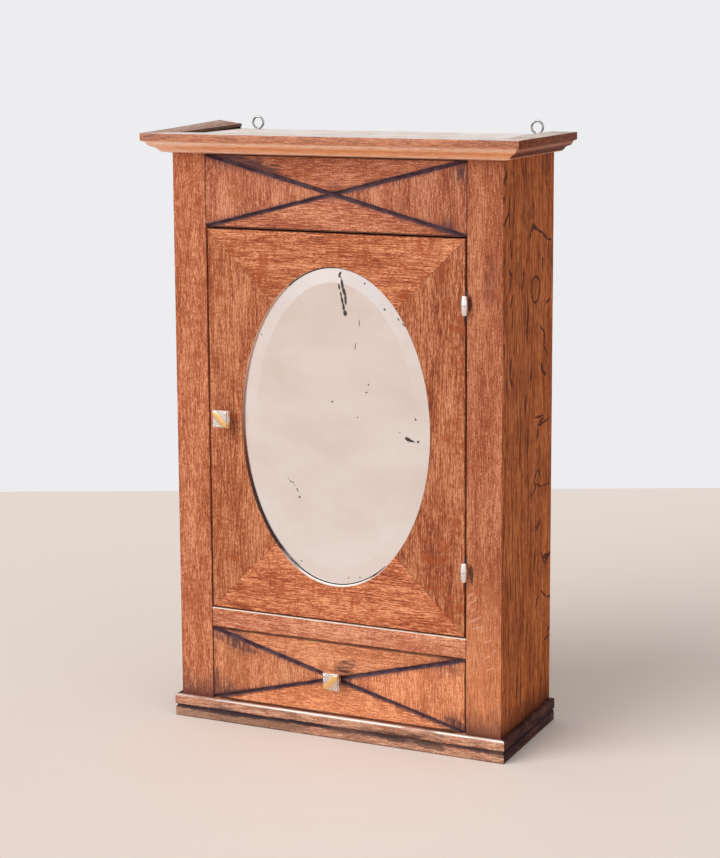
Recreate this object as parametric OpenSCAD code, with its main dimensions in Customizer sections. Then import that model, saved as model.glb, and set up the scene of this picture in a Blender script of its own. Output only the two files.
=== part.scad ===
// Oak wall medicine cabinet: a mitred case with a cornice and a plinth, an inset door with an oval
// bevelled mirror, and a drawer below it. X is the width, the front faces -Y, Z is up.
// Each sub-part is drawn with the front face of the case at y = 0, and at_front() puts it in place.

/* [Case] */
// Width over the two side panels
case_w = 351; // [320:1:400]
// Depth of the case, from the front face to the wall
case_d = 139; // [125:1:170]
// Thickness of a side panel
side_t = 12; // [10:0.5:15]
// Width of a front stile
stile_w = 36.2; // [30:0.1:45]
// Thickness of the stiles and of the front rails
stile_t = 18; // [16:0.5:22]
// Height of the opening that the drawer fills
drawer_open_h = 75.7; // [65:0.1:95]
// Height of the rail between drawer and door
rail_h = 20; // [15:0.5:30]
// Height of the opening that the door fills
door_open_h = 389.2; // [370:0.1:430]
// Height of the frieze between door and cornice
frieze_h = 72.1; // [60:0.1:90]
// Thickness of the bottom panel and of the cupboard's floor
floor_t = 11; // [8:0.5:14]
// Thickness of the top panel
top_t = 10; // [8:0.5:13]
// How far the top panel lies below the cornice's upper edge
top_sink = 3; // [2:0.5:5]
// Thickness of the back panel
back_t = 4; // [3:0.5:6]
// Depth of the rebate in each side panel that takes the back panel
back_rebate = 6; // [4:0.5:8]

/* [Cornice] */
// How far the cornice stands out from the case
cornice_out = 23.5; // [18:0.5:30]
// Height of the cornice
cornice_h = 20.3; // [17:0.1:26]
// Height of the plain band along its upper edge
band_h = 7.3; // [5:0.1:9]
// Height of the fillet between the band and the ogee
ogee_fillet = 1.4; // [1:0.1:2]
// Strength of the ogee's double bend
ogee_bend = 0.16; // [0.08:0.01:0.2]
// How far the ogee starts in from the band
ogee_in = 3.4; // [2:0.1:5]
// How far the foot of the ogee stands out from the case
ogee_foot = 8.8; // [6:0.1:11]
// Height of the sloped soffit below the ogee
soffit_h = 1.6; // [1:0.1:3]
// How far the cornice laps over the top panel
cornice_lap = 4; // [2:0.5:6]
// How far the outer edge of the sprung left length has risen at the back
cornice_warp = 3.5; // [0:0.1:6]
// How far that length has lifted off the case at the back
cornice_lift = 2.2; // [0:0.1:4]

/* [Plinth] */
// Height of the plinth
plinth_h = 22.7; // [18:0.1:30]
// How far the plinth stands out from the case
plinth_out = 5.8; // [4:0.1:9]
// Height of the lower band, under the dark groove
plinth_low_h = 9.8; // [7:0.1:12]
// Height of the dark groove
plinth_groove_h = 2.6; // [1.5:0.1:4]
// Depth of the dark groove
plinth_groove_d = 2; // [1:0.1:3]
// How far the lower band lies behind the upper one
plinth_low_in = 0.5; // [0:0.1:1]
// Size of the eased upper edge
plinth_ease = 1; // [0.5:0.1:2]

/* [Facings] */
// Thickness of the triangular facings on frieze and drawer
facing_t = 2.5; // [1.5:0.1:4]
// Width of the crossed grooves at the front face
groove_w = 4; // [3:0.1:6]
// Width of the crossed grooves at their floor
groove_floor = 1.2; // [0.6:0.1:2]

/* [Door] */
// Thickness of the door
door_t = 17.7; // [15:0.1:21]
// Gap round the door
door_gap = 1.7; // [1:0.1:2.5]
// Width of the side boards where the oval comes nearest to the door's edge
board_side = 36.2; // [30:0.1:50]
// Width of the top and bottom boards where the oval comes nearest to the door's edge
board_end = 34.8; // [28:0.1:50]
// How far the oval stands above the middle of the door
oval_up = 1.9; // [0:0.1:5]
// Thickness of the lip that holds the mirror from the front
lip_t = 3; // [2.5:0.1:8]
// Width of the lip behind which the mirror sits
lip_w = 6; // [4:0.5:8]
// Thickness of the mirror glass
glass_t = 4; // [3.5:0.1:5]
// Thickness of the glass at its bevelled edge
glass_edge_t = 2; // [1.5:0.1:3]
// Width of the whole bevel
bevel_w = 20.5; // [15:0.5:26]
// Clearance between the glass and its rebate
glass_gap = 0.4; // [0.2:0.1:1]
// Thickness of the board behind the mirror
backing_t = 3; // [2:0.5:5]
// Length of a sprig that holds the board
sprig_l = 10; // [8:0.5:14]
// Diameter of a sprig
sprig_d = 1.4; // [1:0.1:2]

/* [Hinges] */
// Distance from the door's upper edge to the middle of the upper hinge
hinge_top = 62.5; // [45:0.5:90]
// Distance from the door's lower edge to the middle of the lower hinge
hinge_bottom = 65.5; // [45:0.5:90]
// Diameter of the olive knuckle at its middle
knuckle_d = 6.9; // [6:0.1:9]
// Diameter of the knuckle at its tips
knuckle_tip_d = 4.8; // [3.8:0.1:5.5]
// Length of the whole knuckle
knuckle_l = 18.5; // [15:0.5:24]
// Gap between the two halves of the knuckle
knuckle_gap = 0.3; // [0.2:0.05:0.6]
// Distance from the door's face to the back of the knuckle
knuckle_clear = 0.85; // [0.5:0.05:2]
// Diameter of the hinge pin
hinge_pin_d = 3; // [2.4:0.1:3.4]
// Thickness of the metal left over each end of the hinge pin
hinge_pin_cap = 1.6; // [1:0.1:2.4]
// Height of a hinge leaf
leaf_h = 30; // [26:1:40]
// Depth of a hinge leaf behind the front face
leaf_d = 13.5; // [12:0.5:15]
// Thickness of a hinge leaf
leaf_t = 1.2; // [1:0.1:1.5]
// Gap between the two leaves of a hinge
leaf_gap = 0.3; // [0.2:0.05:0.5]
// Distance from the end of a leaf to its nearest screw
screw_end = 5; // [4:0.5:7]
// Diameter of a hinge screw's shank
screw_d = 2.7; // [2.2:0.1:3.2]
// Diameter of a hinge screw's head
screw_head_d = 5.4; // [4.6:0.1:6]
// Length of a hinge screw
screw_l = 14; // [10:0.5:18]

/* [Knobs] */
// Side of the square knob head
knob_s = 17.5; // [14:0.5:22]
// Thickness of the knob head
knob_t = 6; // [4:0.5:8]
// Size of the bevel round the head's face
knob_bevel = 1.4; // [0.8:0.1:2]
// How far the head's face stands out from the wood
knob_out = 14; // [11:0.5:18]
// Diameter of the stem behind the head
stem_d = 8; // [7:0.5:10]
// Diameter of the spindle or bolt through the wood
spindle_d = 6; // [5:0.5:7]
// Distance from the door's left edge to its knob
door_knob_x = 17.9; // [16:0.1:22]
// Distance from the door's lower edge to its knob
door_knob_z = 196.7; // [160:0.1:230]
// Length of the turning tongue, from its pivot to its tip
tongue_l = 34; // [31:0.5:38]
// Width of the turning tongue
tongue_w = 11; // [10:0.5:16]
// Thickness of the turning tongue
tongue_t = 3; // [2:0.5:4]
// Width across the corners of a nut
nut_d = 11.5; // [10.5:0.5:14]
// Thickness of a nut
nut_t = 4; // [3:0.5:6]

/* [Drawer] */
// Gap round the drawer front
drawer_gap = 0.8; // [0.5:0.1:1.5]
// Thickness of the drawer front with its facings
drawer_front_t = 16; // [14:0.5:20]
// Gap between the drawer's back and the back panel
drawer_back_gap = 7; // [3:1:30]
// Thickness of the drawer's sides and back
drawer_side_t = 8; // [6:0.5:10]
// Height of the drawer's sides
drawer_side_h = 60; // [45:1:64]
// Thickness of the drawer's bottom
drawer_bottom_t = 4; // [3:0.5:6]
// Height of the drawer's bottom above the lower edge of its sides
drawer_bottom_up = 4; // [3:0.5:8]
// Depth of the grooves that hold the drawer's bottom
drawer_groove = 4; // [3:0.5:5]
// Height of the drawer's guides
guide_h = 20; // [12:1:40]

/* [Shelves] */
// Thickness of a shelf
shelf_t = 9; // [6:0.5:12]
// Height of the lower shelf's upper face above the cupboard's floor
shelf_low_z = 150; // [110:1:180]
// Height of the upper shelf's upper face above the cupboard's floor
shelf_high_z = 300; // [240:1:340]
// How far the shelves lie behind the front of the case
shelf_set = 36; // [34:1:50]
// Height of a shelf cleat
cleat_h = 12; // [8:0.5:16]
// Thickness of a shelf cleat
cleat_t = 8; // [6:0.5:12]
// How far the cleats lie behind the front edge of their shelf
cleat_set = 8; // [0:1:20]
// Length of the door's stops
stop_l = 200; // [100:1:250]
// Width of the door's stops
stop_w = 8; // [6:0.5:12]
// Depth of the door's stops
stop_d = 8; // [6:0.5:10]

/* [Fittings] */
// Outer diameter of a screw eye's ring
eye_d = 14; // [12:0.5:20]
// Diameter of a screw eye's wire
eye_wire_d = 2.2; // [1.8:0.1:3]
// Depth of the screw eye's shank in the top panel
eye_shank = 8; // [5:0.5:9]
// Distance from the left side of the case to the left screw eye
eye_left = 28; // [14:0.5:60]
// Distance from the right side of the case to the right screw eye
eye_right = 15; // [14:0.5:60]
// Distance from the back of the case to the screw eyes
eye_back = 8; // [6:0.5:20]
// Angle of the gap where the ring's wire ends beside the shank
eye_open = 28; // [20:1:50]
// Diameter of a back nail's head
nail_head_d = 3.6; // [3:0.1:5]
// Thickness of a back nail's head
nail_head_t = 0.8; // [0.5:0.1:1.2]
// Diameter of a back nail
nail_d = 1.6; // [1.2:0.1:2]
// Length of a back nail
nail_l = 16; // [10:1:24]
// Distance from the ends of the back panel to the nearest nails
nail_end = 30; // [20:1:50]
// Number of nails along each side of the back panel
nail_count = 5; // [3:1:8]

/* [Hidden] */

// Colours
oak = "#C2744F";
oak_facing = "#B5694A";
oak_side = "#8A4829";
oak_edge = "#9A6A4E";
oak_inside = "#A87850";
top_wood = "#CDBBA6";
ply = "#B9946A";
silvered = "#DFCEC5";
nickel = "#B9B6AE";
brass = "#C9A46A";
steel = "#8E8C88";

// Numbers of segments
round_n = 32;
oval_n = 96;
curve_n = 8;
warp_n = 8;

// Clearances
running_gap = 0.05;
fit_gap = 0.1;
rest_gap = 0.3;
tongue_gap = 0.6;
over = 1;

// Places across the width
half_w = case_w / 2;
inner_x = half_w - side_t;
open_x = half_w - stile_w;
back_x = inner_x + back_rebate;

// Levels, from the floor up
z_rail = plinth_h + drawer_open_h;
z_door = z_rail + rail_h;
z_frieze = z_door + door_open_h;
z_cornice = z_frieze + frieze_h;
total_h = z_cornice + cornice_h;
z_top = total_h - top_sink;
z_panel = z_top - top_t;
z_shelf_low = z_door + shelf_low_z;
z_shelf_high = z_door + shelf_high_z;

// Places along the depth
front_y = (cornice_out - case_d) / 2;
back_y = case_d - back_t;

// Door
door_w = 2 * (open_x - door_gap);
door_h = door_open_h - 2 * door_gap;
door_mid = z_door + door_open_h / 2;
oval_mid = door_mid + oval_up;
oval_a = door_w / 2 - board_side;
oval_b = door_h / 2 - board_end;
glass_a = oval_a + lip_w - glass_gap;
glass_b = oval_b + lip_w - glass_gap;
glass_drop = (glass_t - glass_edge_t) * (lip_w - glass_gap) / bevel_w;
glass_y = lip_t + glass_drop + fit_gap;
backing_y = glass_y + glass_edge_t;
sprig_y = backing_y + backing_t + sprig_d / 2 + running_gap;
// Angles on the oval at which the sprigs stand, clear of the mitres
sprig_angles = [6, 29, 70, 108, 151, 182, 207, 254, 288, 333];

// Hinges
hinge_x = open_x - door_gap / 2;
hinge_y = -(knuckle_d / 2 + knuckle_clear);
hinge_z_upper = z_door + door_open_h - door_gap - hinge_top;
hinge_z_lower = z_door + door_gap + hinge_bottom;
knuckle_half = (knuckle_l - knuckle_gap) / 2;
knuckle_curve = 1.7;
pin_depth = knuckle_half - hinge_pin_cap;
leaf_set = 0.4;
screw_rise = leaf_h / 2 - screw_end;
screw_y = (leaf_set + leaf_d) / 2;

// Knobs
door_knob_at = [-door_w / 2 + door_knob_x, z_door + door_gap + door_knob_z];
drawer_knob_at = [0, plinth_h + drawer_open_h / 2];
tongue_y = stile_t + tongue_gap;
hatch_pitch = 2.1;
hatch_w = 0.9;
hatch_d = 0.4;
hatch_first = 3.8;
hatch_n = 3;

// Drawer
drawer_d = back_y - drawer_back_gap;
drawer_front_x = open_x - drawer_gap;
drawer_z = plinth_h + drawer_gap;
drawer_h = drawer_open_h - 2 * drawer_gap;
drawer_side_z = plinth_h + rest_gap;
drawer_side_top = drawer_side_z + drawer_side_h;
drawer_bottom_z = drawer_side_z + drawer_bottom_up;
drawer_bottom_top = drawer_bottom_z + drawer_bottom_t;
drawer_inner_x = drawer_front_x - drawer_side_t;
drawer_groove_x = drawer_inner_x + drawer_groove;

// Fittings
nail_edge = back_rebate / 2;
nail_step = (z_panel - 2 * nail_end) / (nail_count - 1);

module at_front() {
  translate([0, front_y, 0]) children();
}

// A block from its lowest corner to its highest one
module block(low, high) {
  translate(low) cube(high - low);
}

// Stands a drawing of the X and Z axes up, from y = near to y = far
module upright(near, far) {
  translate([0, far, 0]) rotate([90, 0, 0]) linear_extrude(far - near) children();
}

// Cylinder along Y, from y = near to y = far
module rod_y(d, near, far) {
  translate([0, near, 0]) rotate([-90, 0, 0]) cylinder(d = d, h = far - near, $fn = round_n);
}

// Cylinder along X, from x = 0 towards sign
module rod_x(d, l, sign) {
  rotate([0, 90 * sign, 0]) cylinder(d = d, h = l, $fn = round_n);
}

// Right half of the case
module side_panel() {
  linear_extrude(z_panel) polygon([
    [half_w, 0], [half_w, case_d], [back_x, case_d], [back_x, back_y], [inner_x, back_y], [inner_x, side_t]
  ]);
}

module stile() {
  linear_extrude(z_panel) polygon([
    [half_w, 0], [inner_x, side_t], [inner_x, stile_t], [open_x, stile_t], [open_x, 0]
  ]);
}

module side_right() {
  color(oak_side) at_front() difference() {
    side_panel();
    nail_holes();
  }
}

module side_left() {
  color(oak_side) at_front() difference() {
    mirror([1, 0, 0]) side_panel();
    nail_holes();
  }
}

module stile_left() {
  color(oak) at_front() mirror([1, 0, 0]) stile();
}

// The stile that carries the hinges, cut for their leaves and screws
module stile_right() {
  color(oak) at_front() difference() {
    stile();
    for (z = [hinge_z_upper, hinge_z_lower]) translate([hinge_x, 0, z]) {
      leaf_recess(1);
      screw_pilots(1);
    }
  }
}

// Rails, panels and floors
module mid_rail() {
  color(oak) at_front() block([-open_x, 0, z_rail], [open_x, stile_t, z_door]);
}

module bottom_rail() {
  color(oak) at_front() block([-open_x, 0, 0], [open_x, stile_t, plinth_h]);
}

module cupboard_floor() {
  color(oak_inside) at_front() block([-inner_x, stile_t, z_door - floor_t], [inner_x, back_y, z_door]);
}

module bottom_panel() {
  color(oak_inside) at_front() block([-inner_x, stile_t, plinth_h - floor_t], [inner_x, back_y, plinth_h]);
}

module top_panel() {
  color(top_wood) at_front() difference() {
    block([-half_w, 0, z_panel], [half_w, case_d, z_top]);
    for (x = [-half_w + eye_left, half_w - eye_right])
      translate([x, case_d - eye_back, z_top - eye_shank - fit_gap])
        cylinder(d = eye_wire_d + 2 * running_gap, h = eye_shank + over, $fn = round_n);
  }
}

module back_panel() {
  color(ply) at_front() difference() {
    block([-back_x, back_y, 0], [back_x, case_d, z_panel]);
    nail_holes();
  }
}

// Nails that hold the back panel in the rebates of the sides
module at_nails() {
  for (s = [-1, 1], i = [0 : nail_count - 1])
    translate([s * (inner_x + nail_edge), 0, nail_end + nail_step * i]) children();
}

module nail(gap) {
  rod_y(nail_d + 2 * gap, case_d - nail_l - gap, case_d - nail_head_t / 2);
  rod_y(nail_head_d + 2 * gap, case_d - nail_head_t, case_d + (gap > 0 ? over : 0));
}

module nail_holes() {
  at_nails() nail(running_gap);
}

module back_nails() {
  color(steel) at_front() at_nails() nail(0);
}

// Frieze and drawer facings: one of the four triangles of a w by h panel that its diagonals part
module groove_cutter(w, h) {
  length = norm([w, h]) + 2 * over;
  point = facing_t * groove_w / (groove_w - groove_floor);
  spread = groove_w / 2 * (1 + over / point);
  rotate([0, -atan2(h, w), 0]) rotate([90, 0, 90])
    translate([0, 0, -length / 2]) linear_extrude(length)
      polygon([[-over, spread], [-over, -spread], [point, 0]]);
}

module facing(corner_a, corner_b, w, h) {
  difference() {
    upright(0, facing_t) polygon([corner_a, corner_b, [0, 0]]);
    groove_cutter(w, h);
    groove_cutter(w, -h);
  }
}

// side is 0 for the top facing, 1 for the left, 2 for the bottom and 3 for the right one
module facing_at(side, w, h) {
  corners = [[w, h] / 2, [-w, h] / 2, [-w, -h] / 2, [w, -h] / 2];
  facing(corners[side], corners[(side + 1) % 4], w, h);
}

module frieze_facing(side) {
  color(oak_facing) at_front() translate([0, 0, z_frieze + frieze_h / 2])
    facing_at(side, 2 * open_x, frieze_h);
}

module drawer_facing(side) {
  color(oak_facing) at_front() difference() {
    translate([0, 0, drawer_z + drawer_h / 2]) facing_at(side, 2 * drawer_front_x, drawer_h);
    translate([drawer_knob_at[0], 0, drawer_knob_at[1]]) rod_y(stem_d + 2 * fit_gap, -over, facing_t + over);
  }
}

module frieze_core() {
  color(oak_facing) at_front() block([-open_x, facing_t, z_frieze], [open_x, stile_t, z_panel]);
}

// Cornice: the moulding's section as [distance out, height below its upper edge]
ogee_top = [cornice_out - ogee_in, -band_h - ogee_fillet];
ogee_low = [ogee_foot, soffit_h - cornice_h];
function ogee_point(t) = [
  ogee_top[0] + (ogee_low[0] - ogee_top[0]) * t,
  ogee_top[1] + (ogee_low[1] - ogee_top[1]) * (t + ogee_bend * sin(360 * t) * (1 - t / 2))
];
cornice_section = concat(
  [[-cornice_lap, 0], [cornice_out, 0], [cornice_out, -band_h]],
  [for (i = [0 : curve_n]) ogee_point(i / curve_n)],
  [[0, -cornice_h], [0, -top_sink], [-cornice_lap, -top_sink]]
);

// Plan of a mitred front length, and of a mitred right one, that stand out by out and lap by lap
module front_wedge(out) {
  reach = out + over;
  polygon([[-half_w - reach, -reach], [half_w + reach, -reach], [0, half_w]]);
}

module side_wedge(out, lap) {
  reach = out + over;
  polygon([
    [half_w + reach, -reach], [half_w + reach, case_d + over],
    [half_w - lap - over, case_d + over], [half_w - lap - over, lap + over]
  ]);
}

module cornice_front() {
  color(oak) at_front() intersection() {
    translate([-case_w, 0, total_h]) rotate([90, 0, 90]) linear_extrude(2 * case_w)
      polygon([for (p = cornice_section) [-p[0], p[1]]]);
    linear_extrude(total_h + over) front_wedge(cornice_out);
  }
}

module cornice_right() {
  color(oak) at_front() intersection() {
    translate([half_w, case_d, total_h]) rotate([90, 0, 0]) linear_extrude(case_d + cornice_out + over)
      polygon(cornice_section);
    linear_extrude(total_h + over) side_wedge(cornice_out, cornice_lap);
  }
}

// The left length is lofted from its mitre to its back end, where it has lifted and turned about its lap.
// Its band keeps in line with the mitre, so the turn draws the rest of the section in, as far as the case
cornice_w = cornice_out + cornice_lap;
warp_angle = asin(cornice_warp / cornice_w);
warp_curve = 1.2;
function warp_at(t) = warp_angle * pow(t, warp_curve);
function lift_at(t) = cornice_lift * pow(t, warp_curve);
function warp_in(t) = sin(warp_at(t)) * band_h - (1 - cos(warp_at(t))) * cornice_w;
function warp_point(p, t) = [
  cos(warp_at(t)) * (p[0] + cornice_lap) - sin(warp_at(t)) * p[1] - cornice_lap - warp_in(t),
  sin(warp_at(t)) * (p[0] + cornice_lap) + cos(warp_at(t)) * p[1]
];
function warp_ring(t) = [
  for (p = cornice_section)
    let (q = warp_point(p, t), out = p[0] < 0 ? q[0] : max(q[0], 0))
      [-half_w - out, -p[0] * (1 - t) + case_d * t, total_h + q[1] + lift_at(t)]
];

module cornice_left() {
  m = len(cornice_section);
  points = [for (i = [0 : warp_n]) each warp_ring(i / warp_n)];
  walls = [
    for (i = [0 : warp_n - 1], j = [0 : m - 1])
      let (a = i * m + j, b = i * m + (j + 1) % m) each [[a, b, a + m], [b, b + m, a + m]]
  ];
  front_end = [for (j = [0 : m - 1]) m - 1 - j];
  back_end = [for (j = [0 : m - 1]) warp_n * m + j];
  color(oak_edge) at_front() polyhedron(points, concat(walls, [front_end, back_end]));
}

// Plinth: two bands with a dark groove between them
plinth_low_out = plinth_out - plinth_low_in;
plinth_groove_out = plinth_out - plinth_groove_d;
plinth_high_z = plinth_low_h + plinth_groove_h;
plinth_section = [
  [0, 0], [plinth_low_out, 0], [plinth_low_out, plinth_low_h], [plinth_groove_out, plinth_low_h],
  [plinth_groove_out, plinth_high_z], [plinth_out, plinth_high_z],
  [plinth_out, plinth_h - plinth_ease], [plinth_out - plinth_ease, plinth_h], [0, plinth_h]
];

module plinth_front() {
  color(oak) at_front() intersection() {
    translate([-case_w, 0, 0]) rotate([90, 0, 90]) linear_extrude(2 * case_w)
      polygon([for (p = plinth_section) [-p[0], p[1]]]);
    linear_extrude(plinth_h) front_wedge(plinth_out);
  }
}

module plinth_side() {
  intersection() {
    translate([half_w, case_d, 0]) rotate([90, 0, 0]) linear_extrude(case_d + plinth_out + over)
      polygon(plinth_section);
    linear_extrude(plinth_h) side_wedge(plinth_out, 0);
  }
}

module plinth_right() {
  color(oak_edge) at_front() plinth_side();
}

module plinth_left() {
  color(oak_edge) at_front() mirror([1, 0, 0]) plinth_side();
}

// Shelves, cleats, stops and guides
module shelf(z) {
  block([-inner_x + rest_gap, shelf_set, z - shelf_t], [inner_x - rest_gap, back_y - rest_gap, z]);
}

module shelf_upper() {
  color(oak_inside) at_front() shelf(z_shelf_high);
}

module shelf_lower() {
  color(oak_inside) at_front() shelf(z_shelf_low);
}

module shelf_cleats() {
  color(oak_inside) at_front() for (under = [z_shelf_low - shelf_t, z_shelf_high - shelf_t], s = [0, 1])
    mirror([s, 0, 0])
      block([inner_x - cleat_t, shelf_set + cleat_set, under - cleat_h], [inner_x, back_y, under]);
}

module door_stops() {
  color(oak_inside) at_front() {
    block([-stop_l / 2, stile_t, z_door], [stop_l / 2, stile_t + stop_d, z_door + stop_w]);
    block([-stop_l / 2, stile_t, z_frieze - stop_w], [stop_l / 2, stile_t + stop_d, z_frieze + stop_w]);
  }
}

module drawer_guides() {
  color(oak_inside) at_front() for (s = [0, 1])
    mirror([s, 0, 0]) block([open_x, stile_t, plinth_h], [inner_x, back_y, plinth_h + guide_h]);
}

// Screw eye: an open ring that faces the front, on a shank in the top panel
module screw_eye(x) {
  color(steel) at_front() translate([x, case_d - eye_back, z_top]) {
    translate([0, 0, eye_d / 2 + rest_gap]) rotate([90, 0, 0]) rotate([0, 0, -90])
      rotate_extrude(angle = 360 - eye_open, $fn = round_n)
        translate([(eye_d - eye_wire_d) / 2, 0]) circle(d = eye_wire_d, $fn = round_n);
    translate([0, 0, -eye_shank])
      cylinder(d = eye_wire_d, h = eye_shank + rest_gap + eye_wire_d / 2, $fn = round_n);
  }
}

module screw_eye_left() {
  screw_eye(-half_w + eye_left);
}

module screw_eye_right() {
  screw_eye(half_w - eye_right);
}

// Hinges. sign is 1 for what the case carries and -1 for what the door carries
module leaf_block(sign, low, high) {
  near = leaf_gap / 2;
  far = leaf_gap / 2 + leaf_t;
  block(
    [sign > 0 ? near : -far, low[0], low[1]],
    [sign > 0 ? far : -near, high[0], high[1]]
  );
}

module leaf_recess(sign) {
  near = leaf_gap / 2;
  far = leaf_gap / 2 + leaf_t;
  block(
    [sign > 0 ? near : -far, -over, -leaf_h / 2 - fit_gap],
    [sign > 0 ? far : -near, leaf_d + fit_gap, leaf_h / 2 + fit_gap]
  );
}

// Countersunk screw that points along X away from the hinge's gap
module hinge_screw(sign, gap) {
  translate([sign * leaf_gap / 2, 0, 0]) {
    rotate([0, 90 * sign, 0])
      cylinder(d1 = screw_head_d + 2 * gap, d2 = screw_d + 2 * gap, h = leaf_t, $fn = round_n);
    translate([sign * leaf_t / 2, 0, 0]) rod_x(screw_d + 2 * gap, screw_l - leaf_t / 2 + gap, sign);
  }
}

module at_screws() {
  for (s = [-1, 1]) translate([0, screw_y, s * screw_rise]) children();
}

module screw_pilots(sign) {
  at_screws() hinge_screw(sign, fit_gap);
}

module knuckle() {
  rotate_extrude($fn = round_n) polygon(concat(
    [[0, knuckle_gap / 2]],
    [for (i = [0 : curve_n])
      [knuckle_tip_d / 2 + (knuckle_d - knuckle_tip_d) / 2 * (1 - pow(i / curve_n, knuckle_curve)),
        knuckle_gap / 2 + knuckle_half * i / curve_n]],
    [[0, knuckle_gap / 2 + knuckle_half]]
  ));
}

// A leaf with its half of the knuckle, and the blind bore for the pin
module hinge_leaf(sign) {
  up = -sign;
  top = knuckle_gap / 2 + knuckle_half;
  low_z = up > 0 ? knuckle_gap / 2 : -top;
  high_z = up > 0 ? top : -knuckle_gap / 2;
  color(nickel) difference() {
    union() {
      leaf_block(sign, [leaf_set, -leaf_h / 2], [leaf_d, leaf_h / 2]);
      leaf_block(sign, [hinge_y, low_z], [leaf_set, high_z]);
      translate([0, hinge_y, 0]) mirror([0, 0, up > 0 ? 0 : 1]) knuckle();
    }
    translate([0, hinge_y, -pin_depth]) cylinder(
      d = hinge_pin_d + 2 * running_gap, h = 2 * pin_depth, $fn = round_n);
    screw_pilots(sign);
  }
}

module at_hinge(z) {
  at_front() translate([hinge_x, 0, z]) children();
}

module hinge_case_leaf_upper() {
  at_hinge(hinge_z_upper) hinge_leaf(1);
}

module hinge_case_leaf_lower() {
  at_hinge(hinge_z_lower) hinge_leaf(1);
}

module hinge_door_leaf_upper() {
  at_hinge(hinge_z_upper) hinge_leaf(-1);
}

module hinge_door_leaf_lower() {
  at_hinge(hinge_z_lower) hinge_leaf(-1);
}

module hinge_pins() {
  color(steel) for (z = [hinge_z_upper, hinge_z_lower]) at_hinge(z)
    translate([0, hinge_y, -pin_depth])
      cylinder(d = hinge_pin_d, h = 2 * pin_depth - rest_gap, $fn = round_n);
}

module hinge_screws_case() {
  color(steel) for (z = [hinge_z_upper, hinge_z_lower]) at_hinge(z) at_screws() hinge_screw(1, 0);
}

module hinge_screws_door() {
  color(steel) for (z = [hinge_z_upper, hinge_z_lower]) at_hinge(z) at_screws() hinge_screw(-1, 0);
}

// Door: four boards mitred round the oval
module oval(a, b, near, far) {
  translate([0, near, 0]) rotate([-90, 0, 0]) scale([a, b, 1]) cylinder(r = 1, h = far - near, $fn = oval_n);
}

module sprig(t, gap) {
  wall = [(oval_a + lip_w) * cos(t), (oval_b + lip_w) * sin(t)];
  lean = atan2(sin(t) / (oval_b + lip_w), cos(t) / (oval_a + lip_w));
  translate([wall[0], sprig_y, wall[1]]) rotate([0, -lean, 0])
    translate([-sprig_l / 2, 0, 0]) rod_x(sprig_d + 2 * gap, sprig_l + gap, 1);
}

module door_board(outline) {
  color(oak) at_front() difference() {
    translate([0, 0, door_mid]) upright(0, door_t) polygon(outline);
    translate([0, 0, oval_mid]) {
      oval(oval_a, oval_b, -over, door_t);
      oval(oval_a + lip_w, oval_b + lip_w, lip_t, door_t + over);
      for (t = sprig_angles) sprig(t, running_gap);
    }
    children();
  }
}

door_apex = (door_h - door_w) / 2;

module door_board_top() {
  door_board([[-door_w, door_h] / 2, [0, door_apex], [door_w, door_h] / 2]);
}

module door_board_bottom() {
  door_board([[-door_w, -door_h] / 2, [door_w, -door_h] / 2, [0, -door_apex]]);
}

module door_board_left() {
  door_board([[-door_w, door_h] / 2, [-door_w, -door_h] / 2, [0, -door_apex], [0, door_apex]])
    translate([door_knob_at[0], 0, door_knob_at[1]]) rod_y(spindle_d + 2 * running_gap, -over, door_t + over);
}

module door_board_right() {
  door_board([[door_w, -door_h] / 2, [door_w, door_h] / 2, [0, door_apex], [0, -door_apex]])
    for (z = [hinge_z_upper, hinge_z_lower]) translate([hinge_x, 0, z]) {
      leaf_recess(-1);
      screw_pilots(-1);
    }
}

module mirror_glass() {
  flat_a = glass_a - bevel_w;
  flat_b = glass_b - bevel_w;
  color(silvered) at_front() translate([0, 0, oval_mid]) hull() {
    oval(glass_a, glass_b, glass_y, glass_y + glass_edge_t);
    oval(flat_a, flat_b, glass_y + glass_edge_t - glass_t, glass_y);
  }
}

module mirror_backing() {
  color(ply) at_front() translate([0, 0, oval_mid])
    oval(glass_a, glass_b, backing_y, backing_y + backing_t);
}

module mirror_sprigs() {
  color(steel) at_front() translate([0, 0, oval_mid]) for (t = sprig_angles) sprig(t, 0);
}

// Knobs: a bevelled square head with a plain diagonal band between two hatched corners
module knob_head(at, lean) {
  s = knob_s / 2;
  b = knob_bevel;
  section = [[-s, -knob_out + b], [-s + b, -knob_out], [s - b, -knob_out], [s, -knob_out + b],
    [s, -knob_out + knob_t], [-s, -knob_out + knob_t]];
  color(brass) at_front() translate([at[0], 0, at[1]]) difference() {
    intersection() {
      translate([0, 0, -s]) linear_extrude(knob_s) polygon(section);
      rotate([0, 90, 0]) translate([0, 0, -s]) linear_extrude(knob_s) polygon(section);
    }
    rotate([0, lean, 0]) for (side = [-1, 1], i = [0 : hatch_n - 1])
      translate([-knob_s, -knob_out - over, side * (hatch_first + hatch_pitch * i) - hatch_w / 2])
        cube([2 * knob_s, over + hatch_d, hatch_w]);
  }
}

module door_knob() {
  knob_head(door_knob_at, 45);
}

module drawer_knob() {
  knob_head(drawer_knob_at, -45);
}

// The stem and the spindle that goes through the door to the tongue and the nut
module door_knob_spindle() {
  color(brass) at_front() translate([door_knob_at[0], 0, door_knob_at[1]]) {
    rod_y(stem_d, -knob_out + knob_t, -rest_gap);
    rod_y(spindle_d, -rest_gap, tongue_y + tongue_t + nut_t);
  }
}

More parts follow.
